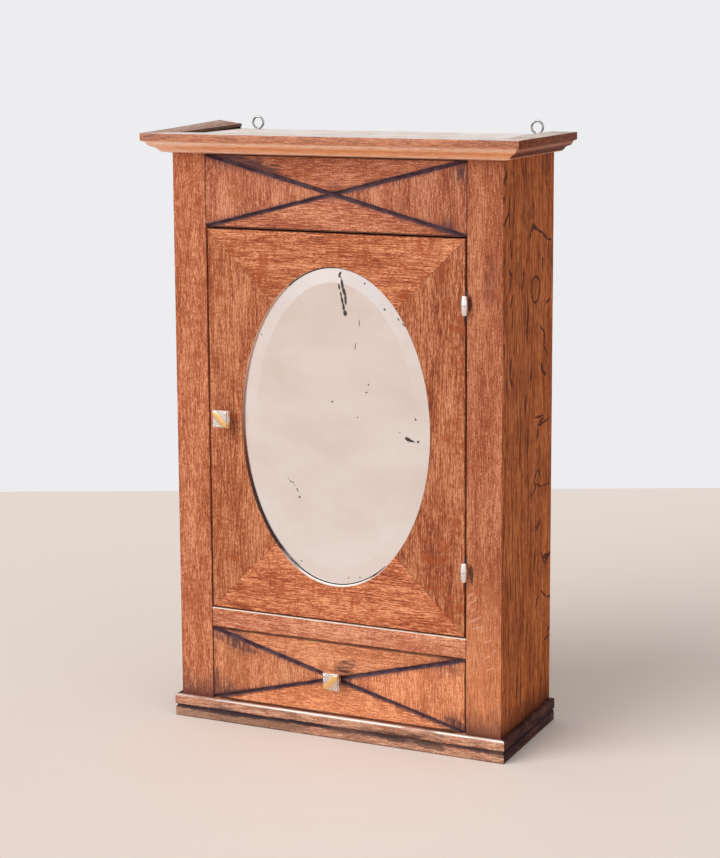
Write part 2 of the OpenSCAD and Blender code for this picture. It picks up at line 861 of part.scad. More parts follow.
// The tongue hangs down at rest, and lies behind the left stile when it is turned
module latch_tongue() {
  color(steel) at_front() translate([door_knob_at[0], 0, door_knob_at[1]]) difference() {
    union() {
      rod_y(tongue_w, tongue_y, tongue_y + tongue_t);
      block([-tongue_w / 2, tongue_y, -tongue_l], [tongue_w / 2, tongue_y + tongue_t, 0]);
    }
    rod_y(spindle_d + 2 * running_gap, tongue_y - over, tongue_y + tongue_t + over);
  }
}

module nut(at, near) {
  color(steel) at_front() translate([at[0], near, at[1]]) difference() {
    rotate([-90, 0, 0]) cylinder(d = nut_d, h = nut_t, $fn = 6);
    rod_y(spindle_d + 2 * running_gap, -over, nut_t + over);
  }
}

module latch_nut() {
  nut(door_knob_at, tongue_y + tongue_t);
}

// Drawer
module drawer_front() {
  color(oak_facing) at_front() difference() {
    block([-drawer_front_x, facing_t, drawer_z], [drawer_front_x, drawer_front_t, drawer_z + drawer_h]);
    block([-drawer_groove_x, drawer_front_t - drawer_groove, drawer_bottom_z],
      [drawer_groove_x, drawer_front_t + over, drawer_bottom_top]);
    translate([drawer_knob_at[0], 0, drawer_knob_at[1]])
      rod_y(spindle_d + 2 * running_gap, -over, drawer_front_t + over);
  }
}

module drawer_side() {
  difference() {
    block([drawer_inner_x, drawer_front_t, drawer_side_z], [drawer_front_x, drawer_d, drawer_side_top]);
    block([drawer_inner_x - over, drawer_front_t - over, drawer_bottom_z],
      [drawer_groove_x, drawer_d + over, drawer_bottom_top]);
  }
}

module drawer_side_right() {
  color(oak_inside) at_front() drawer_side();
}

module drawer_side_left() {
  color(oak_inside) at_front() mirror([1, 0, 0]) drawer_side();
}

module drawer_back() {
  color(oak_inside) at_front()
    block([-drawer_inner_x, drawer_d - drawer_side_t, drawer_bottom_top],
      [drawer_inner_x, drawer_d, drawer_side_top]);
}

module drawer_bottom() {
  edge = drawer_groove_x - fit_gap;
  color(ply) at_front() block([-edge, drawer_front_t - drawer_groove, drawer_bottom_z],
    [edge, drawer_d, drawer_bottom_top]);
}

module drawer_knob_bolt() {
  color(brass) at_front() translate([drawer_knob_at[0], 0, drawer_knob_at[1]]) {
    rod_y(stem_d, -knob_out + knob_t, facing_t);
    rod_y(spindle_d, facing_t, drawer_front_t + nut_t + over);
  }
}

module drawer_knob_nut() {
  nut(drawer_knob_at, drawer_front_t);
}

module frieze_facing_top() {
  frieze_facing(0);
}

module frieze_facing_left() {
  frieze_facing(1);
}

module frieze_facing_bottom() {
  frieze_facing(2);
}

module frieze_facing_right() {
  frieze_facing(3);
}

module drawer_facing_top() {
  drawer_facing(0);
}

module drawer_facing_left() {
  drawer_facing(1);
}

module drawer_facing_bottom() {
  drawer_facing(2);
}

module drawer_facing_right() {
  drawer_facing(3);
}

side_left();
side_right();
stile_left();
stile_right();
frieze_core();
frieze_facing_top();
frieze_facing_bottom();
frieze_facing_left();
frieze_facing_right();
mid_rail();
bottom_rail();
cupboard_floor();
bottom_panel();
top_panel();
back_panel();
back_nails();
cornice_front();
cornice_left();
cornice_right();
plinth_front();
plinth_left();
plinth_right();
shelf_upper();
shelf_lower();
shelf_cleats();
door_stops();
drawer_guides();
screw_eye_left();
screw_eye_right();
hinge_case_leaf_upper();
hinge_case_leaf_lower();
hinge_pins();
hinge_screws_case();
door_board_top();
door_board_bottom();
door_board_left();
door_board_right();
mirror_glass();
mirror_backing();
mirror_sprigs();
hinge_door_leaf_upper();
hinge_door_leaf_lower();
hinge_screws_door();
door_knob();
door_knob_spindle();
latch_tongue();
latch_nut();
drawer_front();
drawer_facing_top();
drawer_facing_bottom();
drawer_facing_left();
drawer_facing_right();
drawer_side_left();
drawer_side_right();
drawer_back();
drawer_bottom();
drawer_knob();
drawer_knob_bolt();
drawer_knob_nut();
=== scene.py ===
"""Looks of an oak wall cabinet: a mitred case, a door with an oval bevelled mirror, and a drawer below it."""
import collections
import math

import bmesh
import bpy
from mathutils import Matrix, Vector


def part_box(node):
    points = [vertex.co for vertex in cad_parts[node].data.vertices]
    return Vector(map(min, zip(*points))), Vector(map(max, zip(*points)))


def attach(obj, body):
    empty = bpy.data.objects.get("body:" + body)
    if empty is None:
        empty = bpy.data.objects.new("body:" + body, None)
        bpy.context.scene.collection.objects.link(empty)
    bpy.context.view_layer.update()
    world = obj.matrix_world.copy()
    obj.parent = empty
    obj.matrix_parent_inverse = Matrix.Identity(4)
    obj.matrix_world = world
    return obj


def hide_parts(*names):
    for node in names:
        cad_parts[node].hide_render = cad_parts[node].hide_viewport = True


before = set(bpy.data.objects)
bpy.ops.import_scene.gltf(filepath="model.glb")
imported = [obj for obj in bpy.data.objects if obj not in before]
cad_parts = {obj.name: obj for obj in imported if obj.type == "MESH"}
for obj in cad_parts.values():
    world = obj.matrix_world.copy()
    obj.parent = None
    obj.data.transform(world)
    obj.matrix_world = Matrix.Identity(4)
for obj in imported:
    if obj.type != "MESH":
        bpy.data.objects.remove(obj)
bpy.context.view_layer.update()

MM = 0.001
scene = bpy.context.scene
scene.view_settings.view_transform = "Standard"


def new_object(name, data):
    """An object with that data, linked to the scene."""
    added = bpy.data.objects.new(name, data)
    scene.collection.objects.link(added)
    return added


# Camera. It stands at the height of the cabinet's upper edge, to the right, and looks a little down.
# The lens axis meets the picture above its middle, so the lens is shifted down.
picture_w, picture_h = 720, 858
focal_px = 2088.5
axis_px = (360, 352)
sensor_mm = 36
yaw, pitch, roll = (math.radians(a) for a in (24.80, 9.06, 0.31))
camera_at = Vector((863.9, -1866.2, 709.8)) * MM

forward = Vector((-math.sin(yaw) * math.cos(pitch), math.cos(yaw) * math.cos(pitch), -math.sin(pitch)))
level = Vector((math.cos(yaw), math.sin(yaw), 0))
below = forward.cross(level)
right = math.cos(roll) * level + math.sin(roll) * below
down = math.cos(roll) * below - math.sin(roll) * level
camera = new_object("camera", bpy.data.cameras.new("camera"))
scene.camera = camera
camera.matrix_world = Matrix.Translation(camera_at) @ Matrix((right, -down, -forward)).transposed().to_4x4()
camera.data.sensor_fit = "VERTICAL"
camera.data.sensor_height = sensor_mm
camera.data.lens = focal_px / picture_h * sensor_mm
camera.data.shift_x = (picture_w / 2 - axis_px[0]) / picture_h
camera.data.shift_y = (axis_px[1] - picture_h / 2) / picture_h


# Floor and light. The floor is a plain pale sheet that ends about a metre behind the cabinet, square to the
# camera, and reaches far in front, where the mirror looks. A broad soft light falls from the front, high on
# the left, a weak one from the right, and the sky gives the rest.
def to_linear(hex_colour):
    """An sRGB hex colour as the linear RGBA that Blender works with."""
    parts = [int(hex_colour[i:i + 2], 16) / 255 for i in (1, 3, 5)]
    return [p / 12.92 if p <= 0.04045 else ((p + 0.055) / 1.055) ** 2.4 for p in parts] + [1]


def feed(node, inputs):
    """Sets a node's inputs. Each gets a plain value, a socket, or a node, whose first output feeds it."""
    for key, value in inputs.items():
        if isinstance(value, bpy.types.Node):
            value = value.outputs[0]
        if isinstance(value, bpy.types.NodeSocket):
            node.id_data.links.new(value, node.inputs[key])
        else:
            node.inputs[key].default_value = value


def add_node(tree, kind, inputs=None, stops=(), **settings):
    """Adds a node with its settings, its inputs and, for a colour ramp, its stops."""
    node = tree.nodes.new(kind)
    for key, value in settings.items():
        setattr(node, key, value)
    feed(node, inputs or {})
    for i, (place, hex_colour) in enumerate(stops):
        stop = node.color_ramp.elements[i] if i < 2 else node.color_ramp.elements.new(place)
        stop.position = place
        stop.color = to_linear(hex_colour)
    return node


def maths(tree, operation, *values, kind="ShaderNodeMath"):
    """Adds a node that works out a number from others."""
    return add_node(tree, kind, dict(enumerate(values)), operation=operation)


def vector_maths(tree, operation, *values):
    """Adds a node that works out a vector or a number from vectors."""
    return maths(tree, operation, *values, kind="ShaderNodeVectorMath")


def shade(material, inputs):
    """Sets inputs of a material's shader."""
    feed(material.node_tree.nodes["Principled BSDF"], inputs)


def new_material(name, inputs):
    """A material with those inputs on its shader."""
    material = bpy.data.materials.new(name)
    material.use_nodes = True
    shade(material, inputs)
    return material


floor_far, floor_near, floor_side = 3.115, -40.0, 12.0
floor_mesh = bpy.data.meshes.new("floor")
ahead = Vector((-math.sin(yaw), math.cos(yaw), 0))
under = Vector((camera_at.x, camera_at.y, 0))
floor_corners = [under + ahead * f + level * s for f, s in (
    (floor_near, -floor_side), (floor_near, floor_side), (floor_far, floor_side), (floor_far, -floor_side))]
floor_mesh.from_pydata(floor_corners, [], [(0, 1, 2, 3)])
new_object("floor", floor_mesh)

# Pale limed board, worn matt
floor_mesh.materials.append(new_material("limed_floor_matt", {
    "Base Color": to_linear("#F1E5DD"), "Roughness": 0.75, "Specular IOR Level": 0.2}))

sky_strength = 0.45
world = bpy.data.worlds.new("sky")
scene.world = world
world.use_nodes = True
sky = world.node_tree
sky.nodes.clear()
path = add_node(sky, "ShaderNodeLightPath").outputs
seen = path["Is Camera Ray"]
for ray in ("Is Glossy Ray", "Is Transmission Ray"):
    seen = maths(sky, "MAXIMUM", seen, path[ray])
lit = add_node(sky, "ShaderNodeBackground", {"Color": to_linear("#FFFDFA"), "Strength": sky_strength})
wall = add_node(sky, "ShaderNodeBackground", {"Color": to_linear("#EDEDF0"), "Strength": 1.0})
both = add_node(sky, "ShaderNodeMixShader", {0: seen, 1: lit, 2: wall})
add_node(sky, "ShaderNodeOutputWorld", {"Surface": both})

for sun_name, sun_from, sun_strength, sun_spread in (
        ("key_sun", (-2.2, -3.2, 2.6), 2.1, 50), ("low_sun", (2.6, -3.0, 1.5), 0.5, 90)):
    sun = new_object(sun_name, bpy.data.lights.new(sun_name, "SUN"))
    sun.data.energy = sun_strength
    sun.data.angle = math.radians(sun_spread)
    sun.rotation_euler = Vector(sun_from).to_track_quat("Z", "Y").to_euler()


# Side panels: two boards of fumed, quarter-sawn oak, mitred to the stiles at the front and rebated for the
# back. Quarter sawing lays the rays open, so they show as dark loops, ticks and ribbons on a straight grain.
weld = 0.002 * MM
board_count = 0


def settle(piece):
    """Keeps what a piece's modifiers make as its own plain mesh."""
    shape = piece.evaluated_get(bpy.context.evaluated_depsgraph_get())
    mesh = bpy.data.meshes.new_from_object(shape)
    piece.modifiers.clear()
    piece.data = mesh
    return piece


def cad_copy(node, ease=0.5 * MM, mitre_ease=0.15 * MM, smooth=22):
    """A copy of a CAD solid with eased edges. Its face attribute arris is 1 on them.
    Edges shorter than those of a board, such as the rims of screw holes, stay as they are."""
    shortest, flat, bend = 2.5 * MM, math.radians(0.3), math.radians(28)
    form = bmesh.new()
    form.from_mesh(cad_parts[node].data)
    bmesh.ops.remove_doubles(form, verts=form.verts, dist=weld)
    bmesh.ops.dissolve_limit(form, angle_limit=flat, verts=form.verts, edges=form.edges)
    weight = form.edges.layers.float.new("bevel_weight_edge")
    for edge in form.edges:
        if edge.is_manifold and edge.calc_face_angle() > bend and edge.calc_length() > shortest:
            leans = [sorted(abs(c) for c in face.normal) for face in edge.link_faces]
            on_mitre = any(n[0] < 0.05 and n[1] > 0.65 for n in leans)
            edge[weight] = mitre_ease / ease if on_mitre else 1.0
    mesh = bpy.data.meshes.new(node + "_finished")
    form.to_mesh(mesh)
    form.free()
    for name in [a.name for a in mesh.attributes if a.name == "custom_normal" or a.data_type == "FLOAT2"]:
        mesh.attributes.remove(mesh.attributes[name])
    mesh.materials.clear()
    mesh.materials.append(None)
    mesh.materials.append(None)
    piece = new_object(node + "_finished", mesh)
    bevel = piece.modifiers.new("eased", "BEVEL")
    bevel.width = ease
    bevel.segments = 2
    bevel.limit_method = "WEIGHT"
    bevel.use_clamp_overlap = False
    bevel.material = 1
    settle(piece)
    mesh = piece.data
    arris = mesh.attributes.new("arris", "FLOAT", "FACE")
    for face in mesh.polygons:
        arris.data[face.index].value = face.material_index
        face.material_index = 0
    mesh.materials.clear()
    mesh.shade_smooth()
    mesh.set_sharp_from_angle(angle=math.radians(smooth))
    return piece


def board(node, along, tone=0.0, **easing):
    """A CAD board ready for its oak. Point attribute grain says where it lies in the plank that it was sawn
    from, with X along the grain, and point attribute tone how much lighter or darker that plank is."""
    global board_count
    board_count += 1
    piece = cad_copy(node, **easing)
    axes = {"x": (0, 2, 1), "y": (1, 2, 0), "z": (2, 0, 1)}[along]
    place = Vector((1.7, 0.9, 2.3)) * board_count
    grain = piece.data.attributes.new("grain", "FLOAT_VECTOR", "POINT")
    for vertex in piece.data.vertices:
        grain.data[vertex.index].vector = Vector([vertex.co[a] for a in axes]) + place
    lightness = piece.data.attributes.new("tone", "FLOAT", "POINT")
    for vertex in piece.data.vertices:
        lightness.data[vertex.index].value = tone
    return piece


def fit(piece, body, material=None):
    """Gives a finished piece its material and its place in the assembly, instead of its CAD solid."""
    if material:
        piece.data.materials.append(material)
    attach(piece, body)
    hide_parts(piece.name.removesuffix("_finished"))


def pattern(tree, where, size_mm, low=0.0, high=1.0, detail=2.0, distortion=0.0):
    """Noise whose features have that size in millimetres along each axis, spread from low to high."""
    scaled = vector_maths(tree, "MULTIPLY", where, [1 / (s * MM) for s in size_mm])
    noise = add_node(tree, "ShaderNodeTexNoise", {"Vector": scaled, "Scale": 1.0, "Detail": detail,
                                                  "Distortion": distortion})
    if (low, high) == (0.0, 1.0):
        return noise.outputs["Fac"]
    spread = add_node(tree, "ShaderNodeMapRange", {"Value": noise.outputs["Fac"], 1: low, 2: high})
    return spread.outputs[0]


Spot = collections.namedtuple("Spot", "tree at place grain normal")


def spot(material):
    """What the patterns of a material start from: its node tree, a spot's place, that place along X, Y and
    Z, where the spot lies in its plank, and the parts of its normal."""
    tree = material.node_tree
    at = add_node(tree, "ShaderNodeTexCoord").outputs["Object"]
    place = add_node(tree, "ShaderNodeSeparateXYZ", {0: at}).outputs
    grain = add_node(tree, "ShaderNodeAttribute", attribute_name="grain").outputs["Vector"]
    normal = add_node(tree, "ShaderNodeNewGeometry").outputs["Normal"]
    normal = add_node(tree, "ShaderNodeSeparateXYZ", {0: normal}).outputs
    return Spot(tree, at, place, grain, normal)


def overlap(tree, *shares):
    """How far several shares hold at once: their product. A share is a value, a socket or a node. In a tuple
    with two bounds it rises from 0 at the first to 1 at the second, or between two more values."""
    product = None
    for share in shares:
        if isinstance(share, tuple):
            share = add_node(tree, "ShaderNodeMapRange", dict(zip(("Value", 1, 2, 3, 4), share)))
        product = share if product is None else maths(tree, "MULTIPLY", product, share)
    return product


# A Mix node's colour sockets have the names of its plain ones, so they go by number
MIX_A, MIX_B, MIX_OUT = 6, 7, 2


def lay(material, over, *shares):
    """Lays one more colour, a hex value or a node, over what a material shows so far, as far as all of the
    shares hold."""
    tree = material.node_tree
    under_it = tree.nodes["Principled BSDF"].inputs["Base Color"].links[0].from_socket
    over = to_linear(over) if isinstance(over, str) else over
    mix = add_node(tree, "ShaderNodeMix", {0: overlap(tree, *shares), MIX_A: under_it, MIX_B: over},
                   data_type="RGBA")
    shade(material, {"Base Color": mix.outputs[MIX_OUT]})


def oak(name, dark, heart, pale, ribbon, ribbons, arris, arris_share, roughness, across=1.0, run=1.0):
    """Oak: growth rings cut along, as streaks about 1 mm wide that short open pores break up, and the rays as
    bands that cross the grain. dark, heart and pale are the streaks' colours. The eased edges take the arris
    colour. across draws the streaks that many times coarser, to show on a face that is seen at a slant, and
    run that many times longer."""
    material = new_material(name, {"IOR": 1.5, "Specular IOR Level": 0.16})
    tree, grain = material.node_tree, spot(material).grain
    tone, eased = (add_node(tree, "ShaderNodeAttribute", attribute_name=key).outputs["Fac"]
                   for key in ("tone", "arris"))
    # Streaks of the growth rings, the flecks between them, and broad lighter and darker parts of the plank
    streaks = pattern(tree, grain, (12 * run, 1.0 * across, 1.0 * across), detail=3.0, distortion=0.25)
    flecks = pattern(tree, grain, (2.3 * run, 0.9 * across, 0.9 * across), detail=2.0)
    figure = pattern(tree, grain, (120, 18, 18), detail=2.0, distortion=0.6)
    fine = add_node(tree, "ShaderNodeMix", {0: 0.45, 2: streaks, 3: flecks}).outputs[0]
    level_of = add_node(tree, "ShaderNodeMix", {0: 0.22, 2: fine, 3: figure}).outputs[0]
    colour = add_node(tree, "ShaderNodeValToRGB", {"Fac": level_of},
                      stops=((0.41, dark), (0.59, pale), (0.495, heart)))
    brighter = maths(tree, "ADD", tone, 1.0)
    toned = add_node(tree, "ShaderNodeVectorMath", {0: colour.outputs["Color"], "Scale": brighter},
                     operation="SCALE")
    shade(material, {"Base Color": toned})
    # Rays: bands 7 mm wide that run 25 mm across the grain
    rays = pattern(tree, grain, (7, 26, 26), 0.50, 0.64, detail=2.0, distortion=1.0)
    rays_here = pattern(tree, grain, (60, 30, 30), 0.42, 0.58)
    lay(material, ribbon, rays, rays_here, ribbons)
    # Pores: open ticks along the grain, drawn 0.9 mm wide so that they show
    pores = pattern(tree, grain, (6 * run, 0.9 * across, 0.9 * across), 0.57, 0.70, detail=2.0)
    lay(material, dark, pores, 0.6)
    worn = pattern(tree, grain, (22, 6, 6), 0.38, 0.55, detail=3.0)
    lay(material, arris, eased, worn, arris_share)
    # Pores and late wood lie a little lower than the rest
    height = maths(tree, "SUBTRACT", fine, pores)
    bump = add_node(tree, "ShaderNodeBump", {"Strength": 0.35, "Distance": 0.25 * MM, "Height": height})
    gloss = (level_of, 0.35, 0.65, roughness + 0.1, roughness - 0.08)
    shade(material, {"Normal": bump, "Roughness": overlap(tree, gloss)})
    return material


def marks(on, strokes, normal, ragged_mm):
    """How far a spot lies inside any of some ragged strokes, from 0 to 1. A stroke is its place across and
    up, its length, its width, and its lean from upright, in mm and degrees. normal is the axis that the
    strokes face, 0 for X and 1 for Y, and ragged_mm how uneven their outlines are."""
    tree = on.tree
    uneven = add_node(tree, "ShaderNodeTexNoise", {
        "Vector": on.at, "Scale": 0.8 / (ragged_mm * MM), "Detail": 3.0}).outputs["Color"]
    uneven = vector_maths(tree, "SUBTRACT", uneven, (0.5, 0.5, 0.5))
    uneven = add_node(tree, "ShaderNodeVectorMath", {0: uneven, "Scale": ragged_mm * MM}, operation="SCALE")
    uneven = vector_maths(tree, "ADD", uneven, on.at)
    covered = 0.0
    for across, up, length, width, lean in strokes:
        place, half, turn = [0, 0, up * MM], [1e3, 1e3, length / 2 * MM], [0, 0, 0]
        place[1 - normal], half[1 - normal] = across * MM, width / 2 * MM
        turn[normal] = math.radians(lean if normal else -lean)
        local = add_node(tree, "ShaderNodeMapping", {
            "Vector": uneven, "Location": place, "Rotation": turn, "Scale": half}, vector_type="TEXTURE")
        far = vector_maths(tree, "LENGTH", local).outputs["Value"]
        inside = overlap(tree, (far, 1.15, 0.8))
        covered = maths(tree, "MAXIMUM", covered, inside)
    return covered


foot_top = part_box("plinth_front")[1].z


def foot_grime(material, hex_colour, amount):
    """Dirt that mopping has left above the plinth, running up the grain."""
    on = spot(material)
    reach = 34 * MM
    ragged = pattern(on.tree, on.grain, (24, 3, 3), 0.25, 0.75, detail=3.0)
    limit = maths(on.tree, "MULTIPLY_ADD", ragged, reach, foot_top + 0.35 * reach)
    lay(material, hex_colour, (on.place["Z"], limit, foot_top), amount)


def quarter_sawn(name, dark, heart, pale):
    """Quarter-sawn oak with a dull satin face, its rays cut into loops and ticks, dirty above the plinth."""
    material = oak(name, dark, heart, pale, "#96481F", 0.4, "#5E2C14", 0.5, 0.62, across=1.8, run=3.2)
    shade(material, {"Specular IOR Level": 0.06})
    on = spot(material)
    # Rays that the saw has met at a slant: the outlines of a noise, broken into loops
    line = 0.026
    hills = pattern(on.tree, on.grain, (34, 6.5, 6.5), detail=1.5, distortion=0.9)
    slope = maths(on.tree, "SUBTRACT", hills, 0.5)
    away = maths(on.tree, "ABSOLUTE", slope)
    broken = pattern(on.tree, on.grain, (26, 9, 9), 0.50, 0.56, detail=1.0)
    lay(material, "#4E200C", (away, line, line * 0.3), broken, 0.6)
    # Dark ticks, long and thin, crowded towards the front, drawn wider than real to show at a slant
    ticks = pattern(on.tree, on.grain, (52, 2.3, 2.3), 0.58, 0.64, detail=1.5, distortion=0.3)
    lay(material, "#4E200C", ticks, (on.place["Y"], 60 * MM, -10 * MM, 0.25), 0.85)
    foot_grime(material, "#4C2014", 0.8)
    return material


# Fumed oak, quarter-sawn, oiled: golden brown with dark rays, made warmer and more saturated than the wood to
# paint the warm light bounced into the shaded right panel
shade_warmed_side_oak = quarter_sawn("oak_quarter_sawn_fumed_painted_warm_shade", "#84401B", "#AF5D2F", "#CB7942")
# The same wood without that painted warmth: a duller, paler brown
left_oak = quarter_sawn("oak_quarter_sawn_fumed_plain", "#7C4429", "#A86644", "#C88E66")
on_side = spot(shade_warmed_side_oak)
# Large rays on the right panel, near its back edge: hooks, a ring and wedges
side_rays = (
    (15, 504, 13, 4, 28), (21, 511, 14, 6, 55), (29, 510, 18, 5, -70), (43, 505, 18, 2.5, -76),
    (57, 499, 17, 3, -62), (69, 495, 15, 2.5, -81), (59, 551, 9, 3, -44),
    (-56, 560, 30, 5, 37), (-59, 541, 15, 5, 41), (-51, 524, 27, 4, 48), (-6, 569, 14, 3, 8),
    (-39, 500, 11, 3, -1), (-37, 490, 8, 3, -6), (-55, 485, 8, 3, -1), (-38, 473, 11, 4, -44),
    (-38, 462, 19, 4, 13), (-3, 464, 20, 3.5, 12), (-35, 446, 16, 3.5, 34), (10, 427, 19, 3.5, 11),
    (-33, 426, 24, 3.5, 3), (50, 473, 14, 4, 6), (67, 434, 14, 3, 73), (51, 408, 17, 2.5, -59),
    (58, 398, 14, 3, -10), (62, 385, 19, 2.5, -47), (51, 369, 15, 6, -31), (58, 363, 13, 4, -59),
    (7, 412, 24, 3.5, 0), (-54, 401, 17, 4, -1), (-37, 383, 19, 4, 8), (-35, 369, 14, 3.5, -28),
    (5, 340, 20, 4, 0), (20, 367, 13, 5, 22), (-10, 295, 36, 3.5, -1), (12, 301, 29, 4, 2),
    (43, 322, 26, 2.5, -86), (48, 316, 21, 3, 72), (57, 314, 32, 2.5, 85), (39, 305, 13, 5, 16),
    (45, 265, 15, 2.5, -41), (35, 265, 16, 3, 46), (33, 256, 12, 3, -39), (46, 252, 21, 2, -73),
    (66, 249, 23, 2, -87), (29, 249, 19, 3, 64), (45, 213, 13, 4, 46), (38, 211, 8, 3.5, -1),
    (57, 176, 20, 3.5, -37), (72, 173, 23, 4, 64), (68, 175, 22, 6, -83), (33, 177, 24, 4, 10),
    (60, 138, 19, 2.5, -57), (76, 131, 18, 2.5, -81), (41, 134, 14, 4, 32), (76, 97, 10, 4, 64),
    (71, 89, 17, 2.5, 82))
lay(shade_warmed_side_oak, "#42170E", marks(on_side, side_rays, 0, 2.2), 0.9)
# One ray closes to a ring, 25 mm across
ring_at = add_node(on_side.tree, "ShaderNodeMapping", {
    "Vector": on_side.at, "Location": (0, 30.5 * MM, 450 * MM), "Scale": (1e3, 12 * MM, 12.5 * MM)},
    vector_type="TEXTURE")
ring_far = vector_maths(on_side.tree, "LENGTH", ring_at).outputs["Value"]
ring_uneven = pattern(on_side.tree, on_side.at, (9, 9, 9), detail=2.0)
ring_far = maths(on_side.tree, "MULTIPLY_ADD", ring_uneven, 0.35, ring_far)
ring_off = maths(on_side.tree, "SUBTRACT", ring_far, 1.17)
ring_off = maths(on_side.tree, "ABSOLUTE", ring_off)
lay(shade_warmed_side_oak, "#42170E", (ring_off, 0.17, 0.09), 0.85)
# A soft painted shadow under the cornice, at the back
stained = marks(on_side, ((58, 570, 26, 30, 0), (20, 527, 14, 14, 0)), 0, 9.0)
lay(shade_warmed_side_oak, "#4A1612", stained, 0.4)
for side, sawn in (("side_left", left_oak), ("side_right", shade_warmed_side_oak)):
    fit(board(side, "z"), "cabinet", sawn)


# Stiles and rails: the front frame, of fumed oak rubbed down and waxed. The stiles meet the sides at a mitre.
# The rail under the door is pale along its upper edge, partly worn where things are set down and partly a
# painted highlight.
def worn_and_highlit_top_edge(material, node, share, hex_colour, reach_mm):
    """The upper edge of a piece, pale for reach_mm back from its front: partly rubbed down to bare wood,
    partly a painted highlight.
    """
    low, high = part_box(node)
    reach = low.y + reach_mm * MM
    on = spot(material)
    lit_and_rubbed = pattern(on.tree, on.grain, (40, 9, 9), 0.25, 0.45, detail=3.0)
    at_top = (on.place["Z"], high.z - 2.0 * MM, high.z - 1.4 * MM)
    at_front = (on.place["Y"], reach, reach - 1.0 * MM)
    lay(material, hex_colour, (on.normal["Z"], 0.1, 0.3), at_top, at_front, lit_and_rubbed, share)


# Fumed oak, waxed: warm brown with pinkish pale streaks and a soft shine. Here and on the rail the eased
# edges are dark, partly dirt and partly painted shade that darkens the gaps between the parts
front_oak = oak("oak_fumed_waxed", "#884428", "#B56745", "#DA966F", "#A05532", 0.6, "#4E281B", 0.85, 0.5)
rail_oak = oak("oak_fumed_waxed_worn_and_highlit", "#95503A", "#C27655", "#E3A684", "#AE6440", 0.6, "#4E281B", 0.85, 0.5)
worn_and_highlit_top_edge(rail_oak, "mid_rail", 0.95, "#F6EADF", 2.5)
# Painted shadow of the knuckles on the right stile, beside each of them
on_front = spot(front_oak)
knuckle_shadow = marks(on_front, ((142.2, 445, 17, 4.6, 2), (144.6, 183, 20, 4.4, -3)), 1, 2.2)
lay(front_oak, "#42201E", knuckle_shadow, 0.85)
# Between the upper knuckle and the corner it is darkened, a painted shade
lay(front_oak, "#6A3632", marks(on_front, ((163, 468, 56, 13, 3),), 1, 9.0), 0.3)
# Lower down it is painted a lighter orange, a painted patch of sunlight, and it is scraped, in short pale
# scratches with a dark side
sunlit_streaks = pattern(on_front.tree, on_front.grain, (14, 1.0, 1.0), 0.3, 0.6, detail=3.0)
lay(front_oak, "#E4935F", (on_front.place["Z"], 200 * MM, 90 * MM),
    (on_front.place["X"], 100 * MM, 120 * MM), sunlit_streaks, 0.5)
scratches = (
    (148.5, 139, 17, 1.6, 62), (150.6, 131, 12, 1.2, 70), (161.5, 119, 9, 1.2, 60), (161.5, 103, 7, 1.5, 56),
    (168.2, 110, 5, 1.4, 42), (141.7, 152, 9, 1.5, 17), (146.9, 157, 7, 1.4, 57), (146.4, 148, 7, 1.2, 47),
    (143.5, 163, 7, 1.5, 50), (150.0, 161, 5, 1.2, 65), (164.7, 92, 8, 1.0, 56))
scraped_in = ((149.5, 143, 11, 1.6, 50), (151.6, 137, 9, 1.4, 59), (145.5, 153, 9, 1.5, 52),
              (143.5, 146, 7, 1.3, 30), (146.0, 160, 9, 1.5, 55))
lay(front_oak, "#7A4432", marks(on_front, scraped_in, 1, 3.0), 0.4)
lay(front_oak, "#E2BBA6", marks(on_front, scratches, 1, 3.0), 0.4)
foot_grime(front_oak, "#4E2C2C", 0.85)
for stile, stile_tone in (("stile_left", 0.02), ("stile_right", -0.16)):
    fit(board(stile, "z", stile_tone, ease=0.4 * MM), "cabinet", front_oak)
for rail in ("mid_rail", "bottom_rail"):
    fit(board(rail, "x", ease=0.8 * MM), "cabinet", rail_oak)


